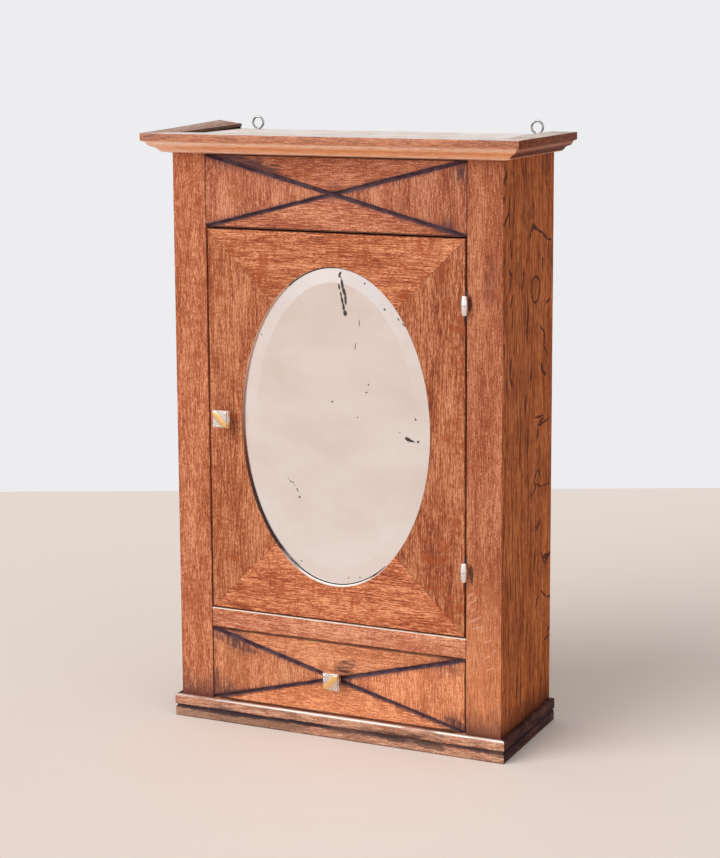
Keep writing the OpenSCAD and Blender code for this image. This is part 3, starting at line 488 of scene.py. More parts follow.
# Frieze: a core board with four thin triangular facings, their grain upright at the sides and level above and
# below. The V grooves between them are stained black, and the stain has crept out along the grain.
def crossed_oak(name, low, high, dark, heart, pale, smudges):
    """Facing oak whose stained grooves run along the diagonals of the panel from low to high. smudges are
    places in that panel, as shares of its half width and half height, where the stain has spread."""
    material = oak(name, dark, heart, pale, "#A85F38", 0.5, "#5B3022", 0.6, 0.52)
    on = spot(material)
    tree, grain = on.tree, on.grain
    middle = (low + high) / 2
    half_w, half_h = (high.x - low.x) / 2, (high.z - low.z) / 2
    reach = math.hypot(half_w, half_h)
    at = vector_maths(tree, "SUBTRACT", on.at, middle).outputs[0]
    away = []
    for sign in (-1, 1):
        across = Vector((sign * half_h, 0, half_w)) / reach
        far = vector_maths(tree, "DOT_PRODUCT", at, across)
        away.append(maths(tree, "ABSOLUTE", far.outputs["Value"]))
    nearest = maths(tree, "MINIMUM", away[0], away[1])
    creep = pattern(tree, grain, (9, 1.4, 1.4), 0.35, 0.75, detail=3.0)
    far_creep = pattern(tree, at, (22, 22, 22), 0.35, 0.65, detail=2.0)
    crept = overlap(tree, creep, far_creep, 11 * MM)
    crept = maths(tree, "ADD", crept, 2.4 * MM)
    lay(material, "#573438", (nearest, crept, 1.0 * MM), 0.75)
    for share_x, share_z, radius_mm in smudges:
        centre = Vector((share_x * half_w, 0, share_z * half_h))
        gap = vector_maths(tree, "DISTANCE", at, centre)
        cloud = (gap.outputs["Value"], radius_mm * MM, 0.35 * radius_mm * MM)
        grainy = pattern(tree, grain, (16, 2.2, 2.2), 0.35, 0.6, detail=3.0)
        lay(material, "#4C2F33", cloud, grainy, 0.85)
    # The groove's edges are frayed, so its stain is 1.8 to 3.2 mm wide on each side
    fray = overlap(tree, pattern(tree, at, (5, 5, 5), 0.3, 0.7, detail=4.0), 1.4 * MM)
    edge = maths(tree, "ADD", fray, 1.8 * MM)
    inner = maths(tree, "SUBTRACT", edge, 1.2 * MM)
    groove = overlap(tree, (nearest, edge, inner))
    lay(material, "#412C38", groove, 0.95)
    scuffed = pattern(tree, at, (13, 13, 13), 0.42, 0.62, detail=4.0)
    lay(material, "#6E565B", groove, scuffed, 0.6)
    # Dark wax in the joints round the panel; along the frieze's top the same dark line is also painted shade
    # under the cornice
    part = add_node(tree, "ShaderNodeSeparateXYZ", {0: at}).outputs
    face = low.y - middle.y
    for key, half in (("X", half_w), ("Z", half_h)):
        out = maths(tree, "ABSOLUTE", part[key])
        lay(material, "#38201C", (out, half - 1.1 * MM, half - 0.6 * MM),
            (part["Y"], face + 1.2 * MM, face + 0.6 * MM), 0.8)
    return material


frieze_low, frieze_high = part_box("frieze_facing_left")[0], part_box("frieze_facing_right")[1]
frieze_smudges = ((0.84, -0.8, 15), (0.02, 0.1, 11), (-0.6, 0.8, 15), (0.95, 0.7, 14), (-0.86, 0.94, 15),
                  (-0.72, 0.84, 13), (-0.46, 0.6, 12))
frieze_oak = crossed_oak("oak_facing_stained_frieze", frieze_low, frieze_high, "#82412B", "#AF6546",
                         "#D59473", frieze_smudges)
# At the upper left the stain has run along the groove in a broad band
run_along = marks(spot(frieze_oak), ((-101, 574, 74, 8, 103), (-128, 576, 18, 6, 100)), 1, 5.0)
lay(frieze_oak, "#4F3236", run_along, 0.75)
for side, along, tone in (
        ("left", "z", 0.0), ("right", "z", -0.08), ("top", "x", -0.02), ("bottom", "x", 0.06)):
    facing = board(f"frieze_facing_{side}", along, tone, ease=0.25 * MM)
    fit(facing, "cabinet", frieze_oak)
fit(board("frieze_core", "x"), "cabinet", frieze_oak)


# Inside of the case: floor, bottom, two loose shelves on cleats, door stops and drawer guides, all of plain
# oak left unstained, planed and rubbed with a little oil, with the marks of bottles on the shelves.
# Plain oak, planed: straw brown, fine grain, almost without shine
inside_oak = oak("oak_plain_planed", "#93603E", "#B4805A", "#CDA07A", "#BE8E68", 0.35, "#8A6044", 0.5, 0.68)
on_inside = spot(inside_oak)
ring_marks = pattern(on_inside.tree, on_inside.at, (55, 55, 300), 0.50, 0.53, detail=0.0)
lay(inside_oak, "#5E4028", ring_marks, 0.14)
for inner, along in (
        ("cupboard_floor", "x"), ("bottom_panel", "x"), ("shelf_upper", "x"), ("shelf_lower", "x"),
        ("shelf_cleats", "y"), ("door_stops", "x"), ("drawer_guides", "y")):
    fit(board(inner, along, ease=0.6 * MM), "cabinet", inside_oak)


# Top panel: a board let in a little below the cornice's upper edge. It was never finished, since nobody sees
# it on a wall, and has gone grey-white with plaster dust and paint specks.
# Bare deal under dust: pale, chalky, with the grain just showing
dusty_deal = oak("deal_bare_dusty", "#CDB7A9", "#EBDDD5", "#F6EDE8", "#DCC9BD", 0.3, "#A89888", 0.4, 0.9)
dusty = spot(dusty_deal)
lay(dusty_deal, "#F9F2EE", pattern(dusty.tree, dusty.at, (28, 22, 22), 0.38, 0.62, detail=4.0), 0.7)
lay(dusty_deal, "#F4F0EA", pattern(dusty.tree, dusty.at, (5, 5, 5), 0.70, 0.72, detail=1.0))
lay(dusty_deal, "#5F4A3C", pattern(dusty.tree, dusty.at, (9, 6, 6), 0.71, 0.76, detail=2.0))
fit(board("top_panel", "x", ease=0.4 * MM), "cabinet", dusty_deal)


# Back panel: a thin plywood sheet in the rebates of the sides, held along each edge by five wire nails with
# flat heads.
# Plywood, unfinished: pale, with a rotary-cut figure and water marks near the floor
ply = oak("birch_ply_unfinished", "#B0845F", "#CBA17A", "#DFBF9C", "#B88F6A", 0.4, "#846348", 0.7, 0.8)
water_marks = pattern(ply.node_tree, spot(ply).at, (90, 90, 60), 0.50, 0.62, detail=4.0, distortion=1.0)
lay(ply, "#7A5C3E", water_marks, 0.35)
fit(board("back_panel", "z", ease=0.3 * MM), "cabinet", ply)


def metal(name, base, roughness, tarnish, tarnish_size_mm, low, high, share, scratch=0.12):
    """A metal with a darker tarnish in patches and fine scratches that break its shine."""
    material = new_material(name, {"Metallic": 1.0})
    tree, at = material.node_tree, spot(material).at
    patches = pattern(tree, at, (tarnish_size_mm,) * 3, low, high, detail=4.0)
    clean = add_node(tree, "ShaderNodeMix", {
        0: overlap(tree, patches, share), MIX_A: to_linear(base), MIX_B: to_linear(tarnish)},
        data_type="RGBA")
    rough = overlap(tree, (patches, 0.0, 1.0, roughness, roughness + 0.3))
    lines = pattern(tree, at, (6, 0.5, 0.35), detail=2.0)
    bump = add_node(tree, "ShaderNodeBump", {"Strength": scratch, "Distance": 0.1 * MM, "Height": lines})
    shade(material, {"Base Color": clean.outputs[MIX_OUT], "Roughness": rough, "Normal": bump})
    return material


# Bright wire steel, drawn, gone grey with a little rust
wire_steel = metal("steel_drawn_aged", "#9C9C99", 0.2, "#5A5048", 3.5, 0.5, 0.68, 0.55)


def new_tree(name, lengths):
    """A Geometry Nodes tree whose inputs are a mesh, those lengths and a material, with its input sockets."""
    tree = bpy.data.node_groups.new(name, "GeometryNodeTree")
    kinds = {"Geometry": "Geometry", **{key: "Float" for key in lengths}, "Material": "Material"}
    for key, kind in kinds.items():
        tree.interface.new_socket(key, in_out="INPUT", socket_type="NodeSocket" + kind)
    tree.interface.new_socket("Geometry", in_out="OUTPUT", socket_type="NodeSocketGeometry")
    return tree, add_node(tree, "NodeGroupInput").outputs


def fastener_tree():
    """Geometry Nodes: one pin with a head on each point, turned as the point's attribute turn says. The
    head's face is at the point, and each pin has its own spin about its axis."""
    tree, given = new_tree("pins_on_places", (
        "Face radius", "Under radius", "Head height", "Shank radius", "Length", "Slot width"))
    head = add_node(tree, "GeometryNodeMeshCone", {
        "Vertices": 24, "Side Segments": 2, "Radius Top": given["Face radius"],
        "Radius Bottom": given["Under radius"], "Depth": given["Head height"]})
    lower = add_node(tree, "ShaderNodeCombineXYZ", {"Z": overlap(tree, given["Head height"], -1.0)})
    head = add_node(tree, "GeometryNodeTransform", {"Geometry": head, "Translation": lower})
    slot_size = add_node(tree, "ShaderNodeCombineXYZ", {
        "X": overlap(tree, given["Face radius"], 3.0), "Y": given["Slot width"], "Z": given["Slot width"]})
    cutter = add_node(tree, "GeometryNodeMeshCube", {"Size": slot_size})
    slotted = add_node(tree, "GeometryNodeMeshBoolean", {0: head, 1: cutter}, operation="DIFFERENCE")
    has_slot = add_node(tree, "FunctionNodeCompare", {0: given["Slot width"], 1: 0.0},
                        operation="GREATER_THAN")
    head = add_node(tree, "GeometryNodeSwitch", {"Switch": has_slot, "False": head, "True": slotted},
                    input_type="GEOMETRY")
    shank_l = maths(tree, "SUBTRACT", given["Length"], given["Head height"])
    shank = add_node(tree, "GeometryNodeMeshCone", {
        "Vertices": 16, "Radius Top": given["Shank radius"],
        "Radius Bottom": overlap(tree, given["Shank radius"], 0.35), "Depth": shank_l})
    bottom = add_node(tree, "ShaderNodeCombineXYZ", {"Z": overlap(tree, given["Length"], -1.0)})
    shank = add_node(tree, "GeometryNodeTransform", {"Geometry": shank, "Translation": bottom})
    pin = add_node(tree, "GeometryNodeJoinGeometry")
    feed(pin, {0: head})
    feed(pin, {0: shank})
    turn = add_node(tree, "GeometryNodeInputNamedAttribute", {"Name": "turn"}, data_type="FLOAT_VECTOR")
    turn = add_node(tree, "FunctionNodeEulerToRotation", {0: turn})
    chance = add_node(tree, "FunctionNodeRandomValue", {2: 0.0, 3: math.pi, "Seed": 7}, data_type="FLOAT")
    spin = add_node(tree, "ShaderNodeCombineXYZ", {"Z": chance.outputs[1]})
    spin = add_node(tree, "FunctionNodeEulerToRotation", {0: spin})
    turned = add_node(tree, "FunctionNodeRotateRotation", {0: turn, 1: spin}, rotation_space="LOCAL")
    rows = add_node(tree, "GeometryNodeInstanceOnPoints",
                    {"Points": given["Geometry"], "Instance": pin, "Rotation": turned})
    real = add_node(tree, "GeometryNodeRealizeInstances", {0: rows})
    painted = add_node(tree, "GeometryNodeSetMaterial", {"Geometry": real, "Material": given["Material"]})
    add_node(tree, "NodeGroupOutput", {0: painted})
    return tree


pins = fastener_tree()


def grow(name, places, tree, values, turns=()):
    """Runs a Geometry Nodes tree on a mesh of places and keeps what it makes as a plain mesh."""
    mesh = bpy.data.meshes.new(name)
    mesh.from_pydata(places, [], [])
    if turns:
        turn = mesh.attributes.new("turn", "FLOAT_VECTOR", "POINT")
        for i, angles in enumerate(turns):
            turn.data[i].vector = angles
    piece = new_object(name, mesh)
    modifier = piece.modifiers.new(name, "NODES")
    modifier.node_group = tree
    for item in tree.interface.items_tree:
        if item.in_out == "INPUT" and item.name in values:
            modifier[item.identifier] = values[item.name]
    settle(piece)
    while piece.data.materials[0] is None:
        piece.data.materials.pop(index=0)
    form = bmesh.new()
    form.from_mesh(piece.data)
    bmesh.ops.remove_doubles(form, verts=form.verts, dist=weld)
    bmesh.ops.recalc_face_normals(form, faces=form.faces)
    form.to_mesh(piece.data)
    form.free()
    piece.data.shade_smooth()
    piece.data.set_sharp_from_angle(angle=math.radians(30))
    return piece


nail_low, nail_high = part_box("back_nails")
nail_head, nail_l, nail_rows = 3.6 * MM, nail_high.y - nail_low.y, 5
nail_x = nail_high.x - nail_head / 2
nail_first, nail_last = nail_low.z + nail_head / 2, nail_high.z - nail_head / 2
nail_places = [(s * nail_x, nail_high.y, nail_first + (nail_last - nail_first) * i / (nail_rows - 1))
               for s in (-1, 1) for i in range(nail_rows)]
nails = grow("back_nails_finished", nail_places, pins, {
    "Face radius": nail_head * 0.42, "Under radius": nail_head / 2, "Head height": 0.8 * MM,
    "Shank radius": 0.8 * MM, "Length": nail_l, "Slot width": 0.0, "Material": wire_steel},
    turns=[(-math.pi / 2, 0, 0)] * len(nail_places))
fit(nails, "cabinet")


# Cornice: three lengths of ogee moulding, mitred, nailed and glued round the top. The left length has sprung
# from its nails and lifted at the back, and its top has gone grey.
cornice_low, cornice_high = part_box("cornice_front")
band_foot = cornice_high.z - 7.3 * MM


def moulding_oak(name, dark, heart, pale, lit_and_rubbed, share):
    """Moulding oak. Below its flat band it takes the colours of the stops given for it, which run from its
    foot
    up: pale bands that are partly worn arrises and partly painted highlights and painted bounced light."""
    material = oak(name, dark, heart, pale, "#A9643F", 0.3, "#8A5238", 0.5, 0.5)
    on = spot(material)
    tree, grain, height = on.tree, on.grain, on.place["Z"]
    wander = pattern(tree, grain, (60, 9, 9), detail=2.0)
    streaky = pattern(tree, grain, (14, 1.0, 1.0), detail=3.0)
    for waves, depth_mm in ((wander, 1.0), (streaky, 3.0)):
        height = maths(tree, "MULTIPLY_ADD", waves, depth_mm * MM, height)
    share_up = overlap(tree, (height, cornice_low.z + 2.0 * MM, band_foot + 2.0 * MM))
    colours = add_node(tree, "ShaderNodeValToRGB", {"Fac": share_up}, stops=lit_and_rubbed)
    open_grain = pattern(tree, grain, (4, 0.8, 0.8), 0.38, 0.60, detail=3.0)
    lay(material, colours, (height, band_foot + 2.4 * MM, band_foot + 1.7 * MM),
        (open_grain, 0.0, 1.0, share, 0.72 * share))
    return material


def dusty_and_highlit_top(material, share, hex_colour):
    """Dust, and a painted highlight, on the faces of a moulding that look up."""
    on = spot(material)
    dust_and_glint = pattern(on.tree, on.grain, (30, 5, 5), 0.25, 0.5, detail=4.0)
    lay(material, hex_colour, (on.normal["Z"], 0.8, 0.95), dust_and_glint, share)


# Oak moulding, waxed: the ogee is painted a pale peach with paler bands, painted light bounced up from the
# floor and painted highlights on its curves; the band above it is a dull brown
cornice_oak = moulding_oak("oak_moulding_waxed", "#80462C", "#AC6442", "#CB8760", (
    (0.0, "#F0986A"), (0.12, "#FFD8BC"), (0.28, "#FFB27E"), (0.62, "#FFB482"), (0.86, "#FFDCC2"),
    (0.97, "#F0A27A")), 1.0)
shade(cornice_oak, {"Specular IOR Level": 0.45, "Coat Weight": 0.35, "Coat Roughness": 0.35})
cornice_side_oak = moulding_oak("oak_moulding_dark", "#522415", "#743A23", "#8E5234", (
    (0.0, "#F6CDB6"), (0.14, "#DC9C7C"), (0.24, "#54240F"), (0.58, "#6E3620"), (0.8, "#C88668"),
    (0.95, "#6E3620")), 0.9)
shade(cornice_side_oak, {"Specular IOR Level": 0.03})
sprung_oak = moulding_oak("oak_moulding_sprung", "#714C3C", "#A37A66", "#CCA68F", (
    (0.0, "#A8653F"), (0.12, "#D69E7A"), (0.28, "#B5704A"), (0.62, "#BA774F"), (0.86, "#DDA683"),
    (0.97, "#A9704F")), 0.6)
dusty_and_highlit_top(cornice_oak, 0.9, "#F0E8E1")
dusty_and_highlit_top(cornice_side_oak, 0.85, "#E6D8CE")
# On the front length the late wood shows, and the ogee is paler near its left end, where hands take hold.
# That end is dirty above the ogee and has a dent that has gone dark.
on_cornice = spot(cornice_oak)
tree, place, grain = on_cornice.tree, on_cornice.place, on_cornice.grain
on_ogee = overlap(tree, (place["Z"], band_foot + 0.3 * MM, band_foot - 0.5 * MM))
off_ogee = maths(tree, "SUBTRACT", 1.0, on_ogee)
lay(cornice_oak, "#BE6636", on_ogee, pattern(tree, grain, (16, 0.9, 0.9), 0.54, 0.66, detail=3.0), 0.65)
handled = overlap(tree, (place["X"], -70 * MM, -170 * MM), pattern(tree, grain, (12, 1.2, 1.2), 0.3, 0.6))
lay(cornice_oak, "#FFDAC8", on_ogee, handled, 0.3)
soiled_end = overlap(tree, (place["X"], -150 * MM, -185 * MM), pattern(tree, grain, (9, 2, 2), 0.3, 0.7))
lay(cornice_oak, "#6E4034", off_ogee, soiled_end, 0.5)
dent = ((-190, 596.8, 11, 2.6, 84), (-184, 598, 7, 1.6, 70), (-197, 594.5, 3, 2, 0))
lay(cornice_oak, "#4A3638", marks(on_cornice, dent, 1, 3.2), 0.6)
# The inner face of the sprung length is painted dark, a painted shade, and its top shows nail holes
on_sprung = spot(sprung_oak)
lay(sprung_oak, "#4C2A22", (on_sprung.normal["X"], 0.8, 0.9), 0.85)
lay(sprung_oak, "#3A241C", pattern(on_sprung.tree, on_sprung.grain, (9, 4, 4), 0.66, 0.72), 0.8)
for length, along, moulding in (("cornice_front", "x", cornice_oak), ("cornice_right", "y", cornice_side_oak),
                                ("cornice_left", "y", sprung_oak)):
    fit(board(length, along, ease=0.35 * MM, smooth=24), "cabinet", moulding)


# Plinth: three mitred lengths glued round the foot, with a dark groove between two bands. Its upper edge is
# pale at the front, partly worn to bare wood and partly a painted highlight, and its sides have kept a
# near-black stain.
groove_low, groove_high = 9.8 * MM, 12.4 * MM


def plinth_oak(name, dark, heart, pale, grime_hex, grime_share):
    """Plinth oak with its groove stained black, and the stain run out along it."""
    material = oak(name, dark, heart, pale, "#B77C5E", 0.3, "#4A2C28", 0.5, 0.52)
    on = spot(material)
    tree, at, height = on.tree, on.at, on.place["Z"]
    lay(material, grime_hex, pattern(tree, at, (30, 30, 6), 0.46, 0.62, detail=4.0), grime_share)
    run_out = pattern(tree, at, (30, 30, 30), 0.44, 0.66, detail=5.0)
    below_it = maths(tree, "MULTIPLY_ADD", run_out, -6.5 * MM, groove_low - 0.9 * MM)
    above_it = maths(tree, "MULTIPLY_ADD", run_out, 5.5 * MM, groove_high + 0.6 * MM)
    worn = pattern(tree, at, (34, 34, 34), 0.35, 0.65, detail=3.0)
    lay(material, "#35232B", (height, below_it, groove_low), (height, above_it, groove_high),
        (worn, 0.0, 1.0, 0.95, 0.6))
    return material


# Oak plinth: dull pinkish brown in front, with a chalky pale arris, partly worn and partly painted highlight
plinth_front_oak = plinth_oak("oak_plinth_worn", "#8E5A45", "#BC8468", "#DDB095", "#6E5040", 0.5)
on_plinth = spot(plinth_front_oak)
# Damp has greyed the lower band at the left, and the groove's stain has run wide there
lay(plinth_front_oak, "#6E5647", marks(on_plinth, ((-108, 4.5, 170, 11, 90),), 1, 7.0), 0.55)
wide_stain = marks(on_plinth, ((-128, 10.5, 120, 6, 90), (-40, 11.5, 70, 4.4, 90)), 1, 3.5)
lay(plinth_front_oak, "#35232B", wide_stain, 0.8)
# Spilt stain has dried in two spots under the drawer
spilt = marks(on_plinth, ((61, 11.5, 36, 11, 96), (104, 8, 34, 8, 94), (84, 14, 24, 5, 80)), 1, 4.0)
lay(plinth_front_oak, "#46302C", spilt, 0.7)
# Painted shade: a dark line along the plinth's foot, where it meets the floor
lay(plinth_front_oak, "#4E3A32", (on_plinth.place["Z"], 1.8 * MM, 0.7 * MM), 0.6)
# The pale edge, part wear and part painted highlight, is stronger towards the right, and broken in one place
broken = marks(on_plinth, ((92, 21.5, 36, 10, 90),), 1, 6.0)
pale_edge_right = overlap(on_plinth.tree, (on_plinth.place["X"], -150 * MM, -50 * MM, 0.4, 0.9),
                       (broken, 0.0, 1.0, 1.0, 0.25))
worn_and_highlit_top_edge(plinth_front_oak, "plinth_front", pale_edge_right, "#FFF8F4", 3.2)
plinth_side_oak = plinth_oak("oak_plinth_black_stained", "#301A1A", "#452827", "#5E3C37", "#2A1817", 0.6)
shade(plinth_side_oak, {"Specular IOR Level": 0.03})
for length, along, stained in (("plinth_front", "x", plinth_front_oak), ("plinth_left", "y", plinth_side_oak),
                               ("plinth_right", "y", plinth_side_oak)):
    fit(board(length, along, ease=0.9 * MM), "cabinet", stained)


# Screw eyes: two hanging eyes of bent steel wire, screwed into the top panel near the back. The wire comes up
# out of the panel, bends at its neck into a drop-shaped ring, and ends short of the neck.
# Bright steel wire: the upper sides shine, and the sides that look down are painted dark, a painted shade
eye_steel = metal("steel_drawn_bright", "#AEAEAC", 0.2, "#5A5048", 3.5, 0.5, 0.68, 0.4)
lay(eye_steel, "#3A3836", (spot(eye_steel).normal["Z"], 0.05, -0.35), 0.85)
eye_wire, eye_ring, eye_bend_steps = 2.2 * MM, 14.0 * MM, 40
neck_drop = 1.28
for eye in ("screw_eye_left", "screw_eye_right"):
    eye_low, eye_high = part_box(eye)
    ring_r = (eye_ring - eye_wire) / 2
    eye_x, eye_y = (eye_low.x + eye_high.x) / 2, (eye_low.y + eye_high.y) / 2
    ring_z = eye_high.z - eye_ring / 2
    leaves_at = math.acos(1 / neck_drop)
    neck = -neck_drop * ring_r
    bend = [leaves_at + (2 * math.pi - 2 * leaves_at) * i / eye_bend_steps for i in range(eye_bend_steps + 1)]
    ring_points = [(ring_r * math.sin(a), -ring_r * math.cos(a)) for a in bend]
    end_x, end_z = ring_points[-1]
    path_points = [(0, eye_low.z - ring_z + eye_wire * 0.1), (0, neck - 1.2 * MM), (0.25 * MM, neck)]
    path_points += ring_points
    path_points += [(end_x * (1 - share), end_z + (neck - end_z) * share) for share in (0.25, 0.5)]
    wire = bpy.data.curves.new(eye, "CURVE")
    wire.dimensions = "3D"
    wire.bevel_depth = eye_wire / 2
    wire.bevel_resolution = 6
    wire.use_fill_caps = True
    run = wire.splines.new("POLY")
    run.points.add(len(path_points) - 1)
    for point, (across, up) in zip(run.points, path_points):
        point.co = (eye_x + across, eye_y, ring_z + up, 1)
    bent = new_object(eye + "_finished", wire)
    ring = new_object(eye + "_ring", bpy.data.meshes.new_from_object(
        bent.evaluated_get(bpy.context.evaluated_depsgraph_get())))
    bpy.data.objects.remove(bent)
    ring.name = eye + "_finished"
    ring.data.shade_smooth()
    ring.data.set_sharp_from_angle(angle=math.radians(50))
    fit(ring, "cabinet", eye_steel)


# Door: four oak boards, glued at mitres that meet on the oval, with their grain running round it. The wall of
# the oval is brown wood with painted shadow and painted light on it, and its rim has a painted white
# highlight along its foot.
glass_low, glass_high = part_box("mirror_glass")
glass_mid = (glass_low + glass_high) / 2
hidden_rim = 5.6 * MM
oval_a = (glass_high.x - glass_low.x) / 2 - hidden_rim
oval_b = (glass_high.z - glass_low.z) / 2 - hidden_rim
# The door's finish is the front's; its eased edges are dark, partly dirt and partly painted shade that
# darkens the gaps round the door
door_oak = oak("oak_fumed_waxed_door", "#803D23", "#B66641", "#E39E73", "#9A4620", 0.7, "#3A2019", 0.9, 0.5,
               run=1.5)
on_door = spot(door_oak)
tree, facing = on_door.tree, on_door.normal
from_glass = vector_maths(tree, "SUBTRACT", on_door.at, glass_mid)
part = add_node(tree, "ShaderNodeSeparateXYZ", {0: from_glass}).outputs
lip = add_node(tree, "ShaderNodeAttribute", attribute_name="oval_wall").outputs["Fac"]
lay(door_oak, "#8E5038", lip)
# The wall is painted pale in the oval's upper half, painted light where it lies in shade, and near-white at
# the lower right, a painted highlight
lay(door_oak, "#EFCDBB", lip, (part["Z"], -30 * MM, 70 * MM))
lay(door_oak, "#F2E2D8", lip, (part["X"], 10 * MM, 50 * MM))
# Painted shadow: dark where the wall looks up, most at the left
painted = overlap(tree, (facing["Z"], 0.05, 0.3), (part["X"], 50 * MM, 10 * MM, 0.3))
lay(door_oak, "#38242C", lip, painted)
# Painted highlight: near-white where the wall looks straight up, at the oval's foot
lay(door_oak, "#F4EEE8", lip, (facing["Z"], 0.8, 0.9))
# A painted white highlight on the rim, about 1.3 mm wide at the oval's foot and gone at the sides
on_oval = vector_maths(tree, "MULTIPLY", from_glass, (1 / oval_a, 0, 1 / oval_b))
outward = vector_maths(tree, "LENGTH", on_oval).outputs["Value"]
lay(door_oak, "#FBF5F1", (outward, 1 + 1.9 * MM / oval_b, 1 + 0.8 * MM / oval_b),
    (part["Z"], -0.80 * oval_b, -0.95 * oval_b), 0.85)
for side, along, tone in (
        ("top", "x", 0.0), ("bottom", "x", 0.1), ("left", "z", -0.14), ("right", "z", -0.22)):
    stave = board(f"door_board_{side}", along, tone, ease=0.5 * MM)
    # Its part of the oval's wall: the faces close to the oval that don't look forward
    wall_of = stave.data.attributes.new("oval_wall", "FLOAT", "FACE")
    for face in stave.data.polygons:
        out = face.center - glass_mid
        share = math.hypot(out.x / oval_a, out.z / oval_b)
        on_wall = 0.98 < share < 1.07 and abs(face.normal.y) < 0.9 and face.center.y < glass_high.y
        wall_of.data[face.index].value = on_wall
    fit(stave, "door", door_oak)


# Mirror: an oval plate of 4 mm glass with a 20 mm bevel, silvered on the back. Geometry Nodes draw it as
# five rings on one rule: back middle, back rim, front rim, inner edge of the bevel, front middle.
def mirror_tree():
    """Geometry Nodes: an oval plate with a bevelled front, round its middle, facing -Y."""
    segments, rings = 288, 5
    tree, given = new_tree("bevelled_oval", (
        "Half width", "Half height", "Bevel", "Edge thickness", "Thickness"))
    sheet = add_node(tree, "GeometryNodeMeshGrid", {
        "Size X": 1.0, "Size Y": 1.0, "Vertices X": segments + 1, "Vertices Y": rings})
    place = add_node(tree, "ShaderNodeSeparateXYZ", {0: add_node(tree, "GeometryNodeInputPosition")}).outputs
    angle = overlap(tree, place["X"], 2 * math.pi)
    ring = maths(tree, "MULTIPLY_ADD", place["Y"], rings - 1, (rings - 1) / 2)
    ring = add_node(tree, "FunctionNodeFloatToInt", {0: ring}, rounding_mode="ROUND")
    wide, high = given["Half width"], given["Half height"]
    flat_wide, flat_high = (maths(tree, "SUBTRACT", half, given["Bevel"]) for half in (wide, high))
    rim, face = (overlap(tree, given[key], -1.0) for key in ("Edge thickness", "Thickness"))
    by_ring = []
    for values in ((0.0, wide, wide, flat_wide, 0.0), (0.0, 0.0, rim, face, face),
                   (0.0, high, high, flat_high, 0.0)):
        choice = add_node(tree, "GeometryNodeIndexSwitch", data_type="FLOAT")
        while len(choice.index_switch_items) < rings:
            choice.index_switch_items.new()
        feed(choice, dict(enumerate((ring, *values))))
        by_ring.append(choice)
    across = maths(tree, "COSINE", angle)
    up = maths(tree, "SINE", angle)
    point = add_node(tree, "ShaderNodeCombineXYZ", {
        "X": overlap(tree, by_ring[0], across), "Y": by_ring[1], "Z": overlap(tree, by_ring[2], up)})
    bent = add_node(tree, "GeometryNodeSetPosition", {"Geometry": sheet, "Position": point})
    closed = add_node(tree, "GeometryNodeMergeByDistance", {"Geometry": bent, "Distance": weld})
    painted = add_node(tree, "GeometryNodeSetMaterial", {"Geometry": closed, "Material": given["Material"]})
    rows = add_node(tree, "GeometryNodeInstanceOnPoints", {"Points": given["Geometry"], "Instance": painted})
    real = add_node(tree, "GeometryNodeRealizeInstances", {0: rows})
    add_node(tree, "NodeGroupOutput", {0: real})
    return tree


# Silvered plate glass: a bright mirror, faintly warm with age, warmer and darker towards the top, a painted
# reflection of the room, and near-black where the silver has flaked
silvered = new_material("glass_silvered_aged", {"Coat Weight": 0.5, "Coat Roughness": 0.02})
on_glass = spot(silvered)
tree, at = on_glass.tree, on_glass.at
haze = pattern(tree, at, (70, 70, 45), 0.35, 0.65, detail=3.0)
painted_reflection_and_haze = overlap(tree, (on_glass.place["Z"], glass_low.z, glass_high.z))
painted_reflection_and_haze = add_node(tree, "ShaderNodeMix", {0: 0.35, 2: painted_reflection_and_haze, 3: haze})
silver = add_node(tree, "ShaderNodeMix", {0: painted_reflection_and_haze, MIX_A: to_linear("#F9F6F5"), MIX_B: to_linear("#E3D3CB")},
                  data_type="RGBA")
shade(silvered, {"Base Color": silver.outputs[MIX_OUT]})
# Flakes: their places are given from the mirror's middle
flakes = (
    (6.0, 151.5, 6.0, 2.6, 23), (6.3, 149.1, 3.9, 1.6, -61), (8.9, 142.1, 10.8, 3.0, -11),
    (10.9, 134.8, 9.2, 3.6, -19), (12.4, 127.4, 10.8, 2.7, -2), (5.6, 139.6, 6.4, 2.0, -11),
    (7.5, 132.1, 5.6, 2.1, -14), (8.8, 126.2, 9.0, 2.5, -13), (10.2, 119.9, 8.0, 2.9, -7),
    (12.0, 113.9, 6.0, 4.2, -12), (26.9, 105.2, 7.4, 0.9, 0), (22.5, 82.4, 7.4, 0.8, 8),
    (77.8, -5.2, 6.8, 4.2, -66), (80.9, -6.4, 8.8, 2.4, -77), (88.6, -6.8, 2.9, 2.2, 55),
    (86.0, 14.9, 2.1, 1.9, 0), (69.4, 1.0, 1.6, 1.2, -29), (-51.8, -55.1, 1.5, 1.0, -29),
    (-48.9, -57.5, 2.2, 1.5, -68), (-46.5, -58.7, 2.2, 1.5, -50), (-44.2, -61.6, 1.4, 1.0, -33),
    (-41.5, -65.8, 4.6, 1.1, -23), (-39.2, -72.6, 2.1, 2.2, -62), (-52.7, 134.9, 1.9, 1.8, -49),
    (32.5, 143.8, 1.8, 1.8, -78), (53.5, 119.7, 2.2, 2.0, -57), (67.6, 110.9, 4.8, 1.0, -49),
    (73.6, 105.4, 6.5, 1.0, -52), (-79.9, 87.7, 1.5, 1.2, 0), (36.3, 45.5, 1.7, 1.5, -15),
    (34.1, 37.5, 2.5, 1.1, 61), (-2.6, 26.1, 2.0, 1.7, 0), (24.3, 12.2, 1.6, 1.1, 45),
    (-38.2, -137.9, 1.5, 1.2, 0), (13.6, -149.7, 1.5, 1.2, 0), (25.6, -148.4, 1.5, 1.2, 0))
from_mid = vector_maths(tree, "SUBTRACT", at, glass_mid).outputs[0]
bare = marks(on_glass._replace(at=from_mid), flakes, 1, 1.6)
lay(silvered, "#2A2622", bare)
